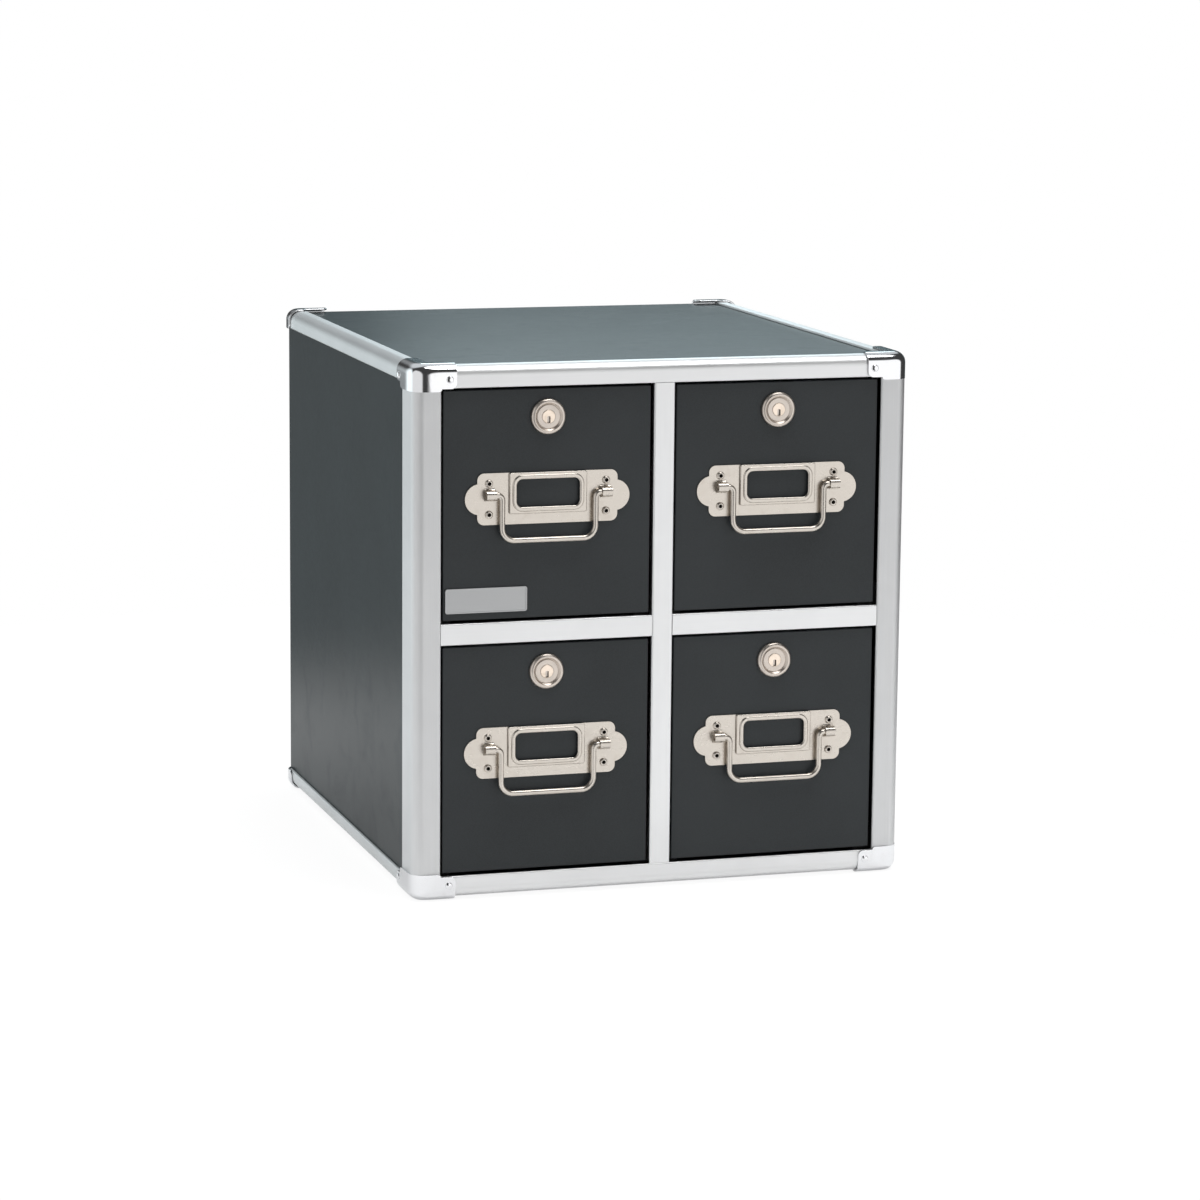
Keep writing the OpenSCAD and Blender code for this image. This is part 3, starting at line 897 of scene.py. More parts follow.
class Workshop:
    """Sends finished pieces to their bodies with a material."""

    def __init__(self, record: dict[str, Any]) -> None:
        """Notes which body carries each node.

        Args:
            record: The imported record.
        """
        groups = record["behaviour"]["bodies"]
        self.body_of = {node: body for body, nodes in groups.items() for node in nodes}
        self.materials: dict[str, bpy.types.Material] = {}

    def material(self, finish: Finish) -> bpy.types.Material:
        """Gives a finish's material, which is made at its first use.

        Args:
            finish: The finish.

        Returns:
            Its material.
        """
        if finish.name not in self.materials:
            self.materials[finish.name] = finish.material()
        return self.materials[finish.name]

    def ship(self, piece: Workpiece, node: str, finish: Finish) -> None:
        """Puts a finished piece in a node's stead.

        Args:
            piece: The finished workpiece.
            node: The node that it stands for.
            finish: What it is dressed with.
        """
        piece.level().obj.name = f"{node}_piece"
        piece.obj.data.name = piece.obj.name
        piece.obj.data.materials.clear()
        piece.obj.data.materials.append(self.material(finish))
        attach(piece.obj, self.body_of[node])
        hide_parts(node)
        LOG.info("%s: %d faces", piece.obj.name, len(piece.obj.data.polygons))

    def keep(self, node: str, finish: Finish) -> None:
        """Dresses a node that is shown as it was packed.

        Args:
            node: The node's name.
            finish: What it is dressed with.
        """
        mesh = frame["nodes"][node].data
        mesh.materials.clear()
        mesh.materials.append(self.material(finish))
        LOG.info("%s: kept", node)

    @staticmethod
    def bay_shift(bay: Bay) -> Matrix:
        """How far a bay lies from the one whose fittings are modelled."""
        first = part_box(f"{Bay.UPPER_LEFT.value}_drawer_front")[0]
        return Matrix.Translation(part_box(f"{bay.value}_drawer_front")[0] - first)

    def ship_to_bays(self, master: Workpiece, part: str, finish: Finish) -> None:
        """Copies a fitting to every bay and takes the master off the bench.

        Args:
            master: The fitting, in its place in the first bay.
            part: The node's name after the bay's.
            finish: What it is dressed with.
        """
        for bay in Bay:
            node = f"{bay.value}_{part}"
            self.ship(master.copy(node, self.bay_shift(bay)), node, finish)
        master.discard()


@dataclass
class Boards:
    """The case's boards, with their long edges eased."""

    ease: float = 0.5 * MM
    steps: int = 3

    def build(self, shop: Workshop) -> None:
        """Models the outer boards and dresses the inner ones.

        Args:
            shop: Where the finished pieces are sent.
        """
        for side in ("top", "bottom", "left", "right", "back"):
            node = f"{side}_board"
            board = Workpiece.block(node, *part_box(node))
            board.bevel_edges(lambda edge: True, self.ease, self.steps).smooth()
            shop.ship(board, node, SHADED_CASE_FILM)
        for node in ("partition", "left_shelf", "right_shelf"):
            shop.keep(node, SHADED_CASE_FILM)
        shop.keep("drawer_runners", FOIL)


@dataclass(frozen=True)
class EdgeRun:
    """One length of metal edge: its node and where its flanges and its length point."""

    node: str
    first: Way
    second: Way
    length: Way

    def place(self) -> Matrix:
        """Works out the way from the modelled length to this one.

        Returns:
            The matrix.
        """
        low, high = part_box(self.node)
        ways = [Vector(way.value) for way in (self.first, self.second, self.length)]
        toward = ways[0] + ways[1] + ways[2]
        corner = [high[i] if toward[i] < 0 else low[i] for i in range(3)]
        return frame_at(corner, *ways)

    def spans(self) -> tuple[float, float, float]:
        """The two flanges' reaches and the length."""
        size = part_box(self.node)[1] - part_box(self.node)[0]
        return tuple(abs(size.dot(Vector(w.value))) for w in (self.first, self.second, self.length))


@dataclass
class MetalEdges:
    """Extruded edges: two flanges about a rounded corner that grips the boards."""

    wall: float = 2 * MM
    radius: float = 8 * MM
    grip: float = 12 * MM
    tip: float = 1.3 * MM
    inner_tip: float = 0.4 * MM
    arc_steps: int = 12
    lip_wall: float = 1.6 * MM
    lip_root: float = 2.75 * MM
    lip_back: float = 12.3 * MM
    lip_ease: float = 0.3 * MM

    def angle(self, name: str, spans: tuple[float, float, float], cores: tuple[float, float]) -> Workpiece:
        """Models one edge at its corner, with its flanges along +X and +Y and its length along +Z.

        Args:
            name: The object's name.
            spans: The two flanges' reaches and the length.
            cores: How far the solid root reaches along each flange.

        Returns:
            The workpiece.
        """
        piece = Workpiece.block(name, (0, 0, 0), (*cores, spans[2]))
        piece.bisect((0, self.wall, 0), (0, 1, 0)).bisect((self.wall, 0, 0), (1, 0, 0))
        piece.extrude(lambda face: face.normal.x > FACING and middle(face).y < self.wall,
                      (spans[0] - cores[0], 0, 0))
        piece.extrude(lambda face: face.normal.y > FACING and middle(face).x < self.wall,
                      (0, spans[1] - cores[1], 0))
        piece.merge_flats()
        piece.bevel_edges(
            lambda edge: runs_along(edge, Axis.Z) and middle(edge).xy.length < NEAR,
            self.radius, self.arc_steps)

        def at_tip(edge: Any, depth: float) -> bool:
            """Tests whether an edge runs along a flange's tip, at a depth below its outer face.

            Args:
                edge: The edge.
                depth: The depth.

            Returns:
                Whether it does.
            """
            place = middle(edge)
            ends = near(place.x, spans[0]) or near(place.y, spans[1])
            return runs_along(edge, Axis.Z) and ends and near(min(place.xy), depth)

        piece.bevel_edges(lambda edge: at_tip(edge, 0), self.tip, steps=5)
        piece.bevel_edges(lambda edge: at_tip(edge, self.wall), self.inner_tip, steps=2)
        return piece.clean().smooth()

    def build(self, shop: Workshop) -> None:
        """Models each kind of edge once and mirrors it to its places.

        Args:
            shop: Where the finished pieces are sent.
        """
        deep, shallow = (self.grip, self.radius), (self.radius, self.grip)
        kinds = (
            (deep, SHADED_POST_SATIN, (EdgeRun("left_post", Way.RIGHT, Way.BACK, Way.UP),
                                EdgeRun("right_post", Way.LEFT, Way.BACK, Way.UP))),
            (shallow, BRUSHED[Axis.X], (
                EdgeRun("bottom_front_rail", Way.BACK, Way.UP, Way.RIGHT),
                EdgeRun("top_front_rail", Way.BACK, Way.DOWN, Way.RIGHT))),
            (shallow, SHADED_EDGE_SATIN, (
                EdgeRun("bottom_left_edge", Way.RIGHT, Way.UP, Way.BACK),
                EdgeRun("bottom_right_edge", Way.LEFT, Way.UP, Way.BACK),
                EdgeRun("top_left_edge", Way.RIGHT, Way.DOWN, Way.BACK),
                EdgeRun("top_right_edge", Way.LEFT, Way.DOWN, Way.BACK))),
        )
        for cores, finish, edge_runs in kinds:
            master = self.angle("edge_master", edge_runs[0].spans(), cores)
            for run in edge_runs:
                piece = master.copy(run.node, run.place())
                if run.node == "top_front_rail":
                    piece.join(self.keepers())
                shop.ship(piece, run.node, finish)
            master.discard()

    def keepers(self) -> list[Workpiece]:
        """Models the lips behind the top rail that the upper cams turn up against.

        Returns:
            One lip for each bay.
        """
        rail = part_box("top_front_rail")
        lips = []
        for side in ("left", "right"):
            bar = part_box(f"{side}_mid_bar")
            head = rail[0].z + self.lip_root
            lip = Workpiece.block(
                f"{side}_keeper", (bar[0].x, rail[0].y + self.wall / 2, head - self.lip_wall),
                (bar[1].x, rail[0].y + self.lip_back, head))
            lips.append(lip.bevel_edges(lambda edge: True, self.lip_ease, steps=2))
        return lips


@dataclass
class DividerBars:
    """The flat-faced bars between the drawers, with two lips that grip a board's edge."""

    wall: float = 2 * MM
    face_round: float = 1.2 * MM
    end_ease: float = 0.35 * MM
    lip_wall: float = 1.6 * MM
    board: float = 10 * MM

    def bar(self, name: str, width: float, depth: float, length: float) -> Workpiece:
        """Models one bar with its face on -Y and its length along +Z.

        Args:
            name: The object's name.
            width: The face's width.
            depth: How far the lips reach back from the face.
            length: The bar's length.

        Returns:
            The workpiece.
        """
        grip = self.board / 2
        piece = Workpiece.block(name, (-width / 2, 0, 0), (width / 2, self.wall, length))
        for place in (grip, grip + self.lip_wall):
            piece.bisect((place, 0, 0), (1, 0, 0)).bisect((-place, 0, 0), (1, 0, 0))
        piece.extrude(lambda face: face.normal.y > FACING
                      and grip < abs(middle(face).x) < grip + self.lip_wall,
                      (0, depth - self.wall, 0))
        piece.merge_flats()
        piece.bevel_edges(lambda edge: runs_along(edge, Axis.Z) and near(middle(edge).y, 0),
                          self.face_round, steps=5)
        piece.bevel_edges(lambda edge: runs_along(edge, Axis.X) and near(middle(edge).y, 0),
                          self.end_ease, steps=2)
        return piece.clean().smooth()

    def build(self, shop: Workshop) -> None:
        """Models the upright bar and one cross bar, which is copied.

        Args:
            shop: Where the finished pieces are sent.
        """
        low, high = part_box("centre_bar")
        size = high - low
        upright = self.bar("centre_bar", size.x, size.y, size.z)
        upright.place(Matrix.Translation(((low.x + high.x) / 2, low.y, low.z)))
        shop.ship(upright, "centre_bar", BRUSHED[Axis.Z])
        low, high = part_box("left_mid_bar")
        size = high - low
        cross = self.bar("cross_master", size.z, size.y, size.x)
        for side in ("left", "right"):
            low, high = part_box(f"{side}_mid_bar")
            corner = (low.x, low.y, (low.z + high.z) / 2)
            place = frame_at(corner, Way.DOWN.value, Way.BACK.value, Way.RIGHT.value)
            shop.ship(cross.copy(side, place), f"{side}_mid_bar", BRUSHED[Axis.X])
        cross.discard()


@dataclass(frozen=True)
class Wing:
    """The outline of one wing of a cap: its plane, and where its two arms' free sides lie."""

    plane: Axis
    first: Axis
    first_at: float
    second: Axis
    second_at: float


@dataclass(frozen=True)
class CapKind:
    """One kind of cap: its node, its reaches along X, Y and Z, its upright corner and its wings."""

    node: str
    inward: Way
    reach: tuple[float, float, float]
    corner: float
    fullness: float
    wings: tuple[Wing, ...]
    side_rivet: bool


FRONT_CAP = CapKind(
    "front_corner_caps", Way.BACK, (31 * MM, 41.5 * MM, 18 * MM), 22 * MM, 0.69,
    (Wing(Axis.Y, Axis.X, 20.2 * MM, Axis.Z, 16 * MM),
     Wing(Axis.X, Axis.Y, 32 * MM, Axis.Z, 13.5 * MM),
     Wing(Axis.Z, Axis.X, 13 * MM, Axis.Y, 13 * MM)), True)
REAR_CAP = CapKind(
    "rear_corner_caps", Way.FRONT, (31 * MM, 18 * MM, 13.5 * MM), 12 * MM, 0.5,
    (Wing(Axis.Y, Axis.X, 31 * MM, Axis.Z, 13.5 * MM),
     Wing(Axis.X, Axis.Y, 18 * MM, Axis.Z, 13.5 * MM),
     Wing(Axis.Z, Axis.X, 13 * MM, Axis.Y, 13 * MM)), False)


@dataclass
class CornerCaps:
    """Pressed caps of three wings with rolled folds and a full corner, held by domed rivets.

    The dome of a rivet is drawn in by rings, each with its width and its share of the crown's height.
    """

    wall: float = 1.5 * MM
    fold: float = 8 * MM
    wing_corner: float = 4 * MM
    rim: float = 0.6 * MM
    fold_steps: int = 10
    rivet_radius: float = 2.6 * MM
    rivet_height: float = 1.2 * MM
    rivet_in: float = 5 * MM
    rivet_up: float = 9.5 * MM
    crown_share: float = 0.3
    skirt_share: float = 0.9
    dome: tuple[tuple[float, float], ...] = ((0.55 * MM, 0.6), (0.6 * MM, 0.3), (0.4 * MM, 0.1))

    def cap(self, kind: CapKind) -> Workpiece:
        """Models one cap about its corner, with its wings along +X, +Y and +Z.

        Args:
            kind: Which kind of cap.

        Returns:
            The workpiece.
        """
        piece = Workpiece.block("cap_master", (-self.wall,) * 3, kind.reach)
        piece.delete_faces(lambda face: max(face.normal) > FACING)
        piece.bevel_edges(lambda edge: runs_along(edge, Axis.Z) and not edge.is_boundary,
                          kind.corner, steps=14, profile=kind.fullness)
        piece.bevel_edges(lambda edge: not edge.is_boundary and at_height(edge, -self.wall),
                          self.fold, self.fold_steps)
        for wing in kind.wings:
            self.trim(piece, kind, wing)
        piece.apply("SOLIDIFY", thickness=self.wall, offset=-1, use_even_offset=True)
        return piece.soften(self.rim, steps=3, above=45).clean().smooth(below=40)

    def trim(self, piece: Workpiece, kind: CapKind, wing: Wing) -> None:
        """Cuts one wing to its outline and rounds its free corners.

        Args:
            piece: The cap.
            kind: Which kind of cap it is.
            wing: Which wing, and where its two arms end.
        """
        plane, first, second = wing.plane.value, wing.first.value, wing.second.value

        def on_wing(face: Any) -> bool:
            """Whether a face lies flat in the wing."""
            return face.normal[plane] < -ALIGNED

        for axis, place in ((first, wing.first_at), (second, wing.second_at)):
            way = [float(axis == i) for i in range(3)]
            piece.bisect([w * place for w in way], way, on_wing)
        piece.delete_faces(lambda face: on_wing(face) and middle(face)[first] > wing.first_at
                           and middle(face)[second] > wing.second_at)

        def is_tip(point: Any) -> bool:
            """Tests whether a point is the free corner of one of the wing's arms.

            Args:
                point: The point.

            Returns:
                Whether it is.
            """
            place = point.co
            long_arm = near(place[first], kind.reach[first]) and near(place[second], wing.second_at)
            high_arm = near(place[first], wing.first_at) and near(place[second], kind.reach[second])
            return near(place[plane], -self.wall) and (long_arm or high_arm)

        piece.bevel_corners(is_tip, self.wing_corner, steps=6)

    def rivet(self) -> Workpiece:
        """Models one domed rivet head on the plane z = 0.

        Returns:
            The workpiece.
        """
        crown = self.crown_share * self.rivet_height
        skirt = self.rivet_height - crown
        head = Workpiece.rod("rivet_master", (0, 0, skirt / 2), self.rivet_radius, skirt, sides=28)
        head.bevel_edges(lambda edge: at_height(edge, skirt), self.skirt_share * skirt, steps=5)
        for width, share in self.dome:
            head.inset(is_crown, width, share * crown)
        return head.smooth(below=60)

    def seats(self, kind: CapKind) -> list[Matrix]:
        """Where the rivets of a cap sit, about its corner.

        Args:
            kind: Which kind of cap.

        Returns:
            One matrix for each rivet.
        """
        seats = [frame_at((kind.reach[0] - self.rivet_in, -self.wall, self.rivet_up),
                          Way.RIGHT.value, Way.UP.value, Way.FRONT.value)]
        if kind.side_rivet:
            seats.append(frame_at((-self.wall, kind.reach[1] - self.rivet_in, self.rivet_up),
                                  Way.FRONT.value, Way.UP.value, Way.LEFT.value))
        return seats

    def build(self, shop: Workshop) -> None:
        """Mirrors each kind of cap and its rivets to four corners.

        Args:
            shop: Where the finished pieces are sent.
        """
        rivet = self.rivet()
        heads = []
        for kind in (FRONT_CAP, REAR_CAP):
            cap = self.cap(kind)
            low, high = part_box(kind.node)
            depth = low.y + self.wall if kind.inward is Way.BACK else high.y - self.wall
            caps = []
            for x, across in ((low.x + self.wall, Way.RIGHT), (high.x - self.wall, Way.LEFT)):
                for z, upright in ((low.z + self.wall, Way.UP), (high.z - self.wall, Way.DOWN)):
                    place = frame_at((x, depth, z), across.value, kind.inward.value, upright.value)
                    caps.append(cap.copy("cap", place))
                    heads += [rivet.copy("rivet", place @ seat) for seat in self.seats(kind)]
            shop.ship(caps[0].join(caps[1:]), kind.node, CAP_CHROME)
            cap.discard()
        shop.ship(heads[0].join(heads[1:]), "cap_rivets", CAP_CHROME)
        rivet.discard()


def rivet_places() -> list[tuple[float, float]]:
    """The places of a pull's four rivets about the middle of its plate."""
    return [(x * PULL_RIVET[0], y * PULL_RIVET[1]) for x in (-1, 1) for y in (-1, 1)]


def on_front(node: str) -> Matrix:
    """Gives the matrix to a fitting's place on the first drawer's face.

    Args:
        node: The fitting's name after the bay's.

    Returns:
        The matrix from a fitting that lies flat, facing +Z with +Y up.
    """
    bay = Bay.UPPER_LEFT.value
    low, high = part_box(f"{bay}_{node}")
    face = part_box(f"{bay}_drawer_front")[0].y
    origin = ((low.x + high.x) / 2, face, (low.z + high.z) / 2)
    return frame_at(origin, Way.RIGHT.value, Way.UP.value, Way.FRONT.value)


@dataclass
class DrawerBoxes:
    """Each drawer's laminated front and its open tray."""

    ease: float = 0.7 * MM
    wall: float = 4.5 * MM
    floor: float = 4 * MM
    barrel_hole: float = 9.05 * MM
    rivet_hole: float = 1.75 * MM
    rim_ease: float = 0.8 * MM

    def front(self) -> Workpiece:
        """Models the front: a panel with eased edges and the holes of its lock and pull.

        Returns:
            The workpiece.
        """
        low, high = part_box(f"{Bay.UPPER_LEFT.value}_drawer_front")
        panel = Workpiece.block("front_master", low, high)
        panel.bevel_edges(lambda edge: True, self.ease, steps=3)
        pull = on_front("pull_plate")
        holes = [(on_front("lock_body").translation, self.barrel_hole)]
        holes += [(pull @ Vector((*place, 0)), self.rivet_hole) for place in rivet_places()]
        for centre, radius in holes:
            panel.cut(Workpiece.rod("hole", centre, radius, 3 * (high.y - low.y), Axis.Y, sides=40))
        return panel.clean().smooth()

    def tray(self) -> Workpiece:
        """Models the tray: a floor slab with its sides and back drawn up from it.

        Returns:
            The workpiece.
        """
        low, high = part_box(f"{Bay.UPPER_LEFT.value}_drawer_tray")
        piece = Workpiece.block("tray_master", low, (high.x, high.y, low.z + self.floor))
        inner = (low.x + self.wall, high.x - self.wall, high.y - self.wall)
        piece.bisect((inner[0], 0, 0), (1, 0, 0)).bisect((inner[1], 0, 0), (1, 0, 0))
        piece.bisect((0, inner[2], 0), (0, 1, 0))
        piece.extrude(
            lambda face: face.normal.z > FACING and not (
                inner[0] < middle(face).x < inner[1] and middle(face).y < inner[2]),
            (0, 0, high.z - low.z - self.floor))
        piece.merge_flats()
        piece.bevel_edges(lambda edge: near(middle(edge).z, high.z), self.rim_ease, steps=3)
        return piece.clean().smooth()

    def build(self, shop: Workshop) -> None:
        """Models a front and a tray and copies them to the bays."""
        shop.ship_to_bays(self.front(), "drawer_front", FRONT_FILM)
        shop.ship_to_bays(self.tray(), "drawer_tray", FOIL)


@dataclass
class LabelPulls:
    """Stamped pull plates with a framed label window, tubular rivets and a hanging wire bail."""

    width: float = 103 * MM
    height: float = 36.7 * MM
    sheet: float = 1.2 * MM
    corner: float = 5 * MM
    lobe: float = 11 * MM
    lobe_out: float = 9 * MM
    ease: float = 0.25 * MM
    label: float = 57 * MM
    label_corner: float = 1.2 * MM
    label_rim: float = 0.7 * MM
    band: float = 7.5 * MM
    pocket: float = 1.8 * MM
    window: tuple[float, float] = (46 * MM, 19.5 * MM)
    window_corner: float = 4 * MM
    window_room: float = 0.3 * MM
    window_over: float = 0.1 * MM
    bead: float = 3.4 * MM
    bead_height: float = 0.9 * MM
    bead_root: float = 0.8 * MM
    bead_round: float = 1.2 * MM
    rivet_radius: float = 2.9 * MM
    rivet_height: float = 1.4 * MM
    rivet_roll: float = 1.1 * MM
    rivet_lip: float = 0.15 * MM
    rivet_hollow: float = 1.3 * MM
    rivet_depth: float = 3.6 * MM
    rivet_shank: float = 1.7 * MM
    clinch: float = 0.8 * MM
    clinch_round: float = 0.3 * MM
    front: float = 6 * MM
    wire: float = 2.1 * MM
    bail_width: float = 68.6 * MM
    bail_drop: float = 32.4 * MM
    bail_corner: float = 9 * MM
    elbow: float = 3.5 * MM
    pin_end: float = 45 * MM
    pin_round: float = 0.6 * MM
    pivot: tuple[float, float] = (3 * MM, 5 * MM)
    knuckle: tuple[float, float] = (38.7 * MM, 46.2 * MM)
    knuckle_wall: float = 1.4 * MM
    knuckle_gap: float = 0.05 * MM
    flare: float = 1.3 * MM
    flare_share: float = 0.98
    flare_hollow: float = 0.12

    def rounded(self, name: str, low: Triple, high: Triple, radius: float, rim: float = 0) -> Workpiece:
        """Models a flat block with round corners.

        Args:
            name: The object's name.
            low: Its lowest corner.
            high: Its highest corner.
            radius: The corners' radius.
            rim: How far the top edge is rounded.

        Returns:
            The workpiece.
        """
        piece = Workpiece.block(name, low, high)
        piece.bevel_edges(lambda edge: runs_along(edge, Axis.Z), radius, steps=8)
        if rim:
            piece.bevel_edges(lambda edge: at_height(edge, high[2]), rim, steps=3)
        return piece

    def plate(self) -> Workpiece:
        """Models the plate flat on z = 0, facing +Z.

        Returns:
            The workpiece.
        """
        half_w, half_h = self.width / 2, self.height / 2
        raised = self.pocket + self.sheet
        label_low = self.band - half_h
        piece = self.rounded("plate_master", (-half_w, -half_h, 0), (half_w, half_h, self.sheet),
                             self.corner)
        for side in (-1, 1):
            centre = (side * (half_w + self.lobe_out - self.lobe), 0, self.sheet / 2)
            piece.unite(Workpiece.rod("lobe", centre, self.lobe, self.sheet, sides=72))
        piece.unite(self.rounded("label", (-self.label / 2, label_low, 0),
                                 (self.label / 2, half_h, raised), self.label_corner, self.label_rim))
        wide, tall = self.window[0] / 2, self.window[1] / 2
        rise = self.band / 2
        piece.cut(Workpiece.block(
            "pocket", (-self.label / 2 + self.sheet, label_low + self.sheet, -self.sheet),
            (self.label / 2 - self.sheet, self.height, self.pocket)))
        piece.unite(self.window_bead((wide, tall), rise, raised))
        room = self.window_room
        piece.cut(self.rounded("window", (-wide - room, rise - tall - room, -self.sheet),
                               (wide + room, rise + tall + room, raised + self.window_over),
                               self.window_corner + room))
        self.add_knuckles(piece)
        for x, y in rivet_places():
            piece.cut(Workpiece.rod("hole", (x, y, 0), self.rivet_shank + self.knuckle_gap, 4 * raised))
        return piece.soften(self.ease).clean().smooth(below=38)

    def window_bead(self, half: tuple[float, float], rise: float, raised: float) -> Workpiece:
        """Models the rounded bead about the window.

        Args:
            half: Half the window's width and height.
            rise: How far the window's middle lies above the plate's.
            raised: The height of the label frame that carries the bead.

        Returns:
            The workpiece, a ring.
        """
        top = raised + self.bead_height
        bead = self.rounded(
            "bead", (-half[0] - self.bead, rise - half[1] - self.bead, raised - self.bead_root),
            (half[0] + self.bead, rise + half[1] + self.bead, top), self.window_corner + self.bead)

        def field(face: Any) -> bool:
            """Whether a face is the one inside the ring."""
            return face.normal.z > ALIGNED and (middle(face).xy - Vector((0, rise))).length < NEAR

        bead.inset(field, self.bead)
        bead.extrude(field, (0, 0, -self.bead_height - self.bead_root / 2))
        return bead.bevel_edges(lambda edge: at_height(edge, top) and edge.calc_face_angle(0) > SHARP,
                                self.bead_round, steps=5)

    def add_knuckles(self, piece: Workpiece) -> None:
        """Raises the two pressed tunnels that hold the bail's pins.

        Args:
            piece: The plate.
        """
        up, out = self.pivot
        bore = self.wire + self.knuckle_gap
        radius = bore + self.knuckle_wall
        half = (self.knuckle[1] - self.knuckle[0]) / 2
        for side in (-1, 1):
            centre = side * (self.knuckle[0] + self.knuckle[1]) / 2
            eye = Workpiece.rod("eye", (centre, up, out), radius, 2 * half, Axis.X)
            eye.unite(Workpiece.block("foot", (centre - half, up - radius, self.sheet / 2),
                                      (centre + half, up + radius, out)))
            crest = self.sheet + self.flare
            skirt = Workpiece.block(
                "skirt", (centre - half, up - radius - self.flare, self.sheet / 3),
                (centre + half, up + radius + self.flare, crest))
            skirt.bevel_edges(lambda edge: runs_along(edge, Axis.X) and near(middle(edge).z, crest),
                              self.flare_share * self.flare, steps=4, profile=self.flare_hollow)
            piece.unite(eye.unite(skirt))
            piece.cut(Workpiece.rod("bore", (centre, up, out), bore, 2.4 * half, Axis.X, sides=32))

    def rivets(self) -> Workpiece:
        """Models one tubular rivet and copies it to the plate's four holes.

        Returns:
            The four rivets as one workpiece.
        """
        top = self.sheet + self.rivet_height
        rivet = Workpiece.rod("rivet", (0, 0, top - self.rivet_height / 2), self.rivet_radius,
                              self.rivet_height, sides=36)
        rivet.bevel_edges(lambda edge: at_height(edge, top), self.rivet_roll, steps=5, profile=0.45)
        lip = self.rivet_lip
        rivet.inset(is_crown, self.rivet_radius - self.rivet_roll - self.rivet_hollow - lip)
        rivet.inset(is_crown, lip, -2 * lip)
        rivet.extrude(is_crown, (0, 0, -self.rivet_depth))
        rivet.inset(is_foot, self.rivet_radius - self.rivet_shank)
        rivet.extrude(is_foot, (0, 0, -self.sheet - self.front - self.clinch / 2))
        clinch = Workpiece.rod("clinch", (0, 0, -self.front - self.clinch / 2), self.rivet_radius,
                               self.clinch, sides=36)
        clinch.bevel_edges(lambda edge: at_height(edge, -self.front - self.clinch),
                           self.clinch_round, steps=2)
        rivet.unite(clinch).clean().smooth(below=50)
        heads = [rivet.copy("rivet", Matrix.Translation((x, y, 0))) for x, y in rivet_places()]
        rivet.discard()
        return heads[0].join(heads[1:])

    def bail(self) -> Workpiece:
        """Models the wire bail: one half is drawn and spun from a round, then mirrored.

        Returns:
            The workpiece, with its pins on the X axis.
        """
        leg = self.bail_width / 2
        turn_x = leg + self.elbow
        low = self.bail_drop - self.bail_corner
        piece = Workpiece.disc("bail_master", (self.pin_end, 0, 0), self.wire, Axis.X)
        with piece.edit(Pick.FACE, lambda face: True):
            bpy.ops.mesh.extrude_region_move(
                TRANSFORM_OT_translate={"value": (turn_x - self.pin_end, 0, 0)})
            bpy.ops.mesh.spin(steps=8, angle=math.pi / 2, center=(turn_x, -self.elbow, 0),
                              axis=(0, 0, -1))
            bpy.ops.mesh.extrude_region_move(
                TRANSFORM_OT_translate={"value": (0, self.elbow - low, 0)})
            bpy.ops.mesh.spin(steps=12, angle=math.pi / 2, center=(leg - self.bail_corner, -low, 0),
                              axis=(0, 0, 1))
            bpy.ops.mesh.extrude_region_move(
                TRANSFORM_OT_translate={"value": (self.bail_corner - leg, 0, 0)})
            bpy.ops.mesh.delete(type="FACE")
        piece.apply("MIRROR", use_axis=(True, False, False), merge_threshold=NEAR)
        piece.clean()
        piece.bevel_edges(
            lambda edge: all(near(abs(end.co.x), self.pin_end) for end in edge.verts),
            self.pin_round, steps=3)
        return piece.clean().smooth(below=40)

    def build(self, shop: Workshop) -> None:
        """Models the pull's pieces and copies them to the bays.

        Args:
            shop: Where the finished pieces are sent.
        """
        place = on_front("pull_plate")
        hang = place @ Matrix.Translation((0, *self.pivot))
        shop.ship_to_bays(self.plate().place(place), "pull_plate", NICKEL)
        shop.ship_to_bays(self.rivets().place(place), "pull_rivets", NICKEL)
        shop.ship_to_bays(self.bail().place(hang), "bail", NICKEL)


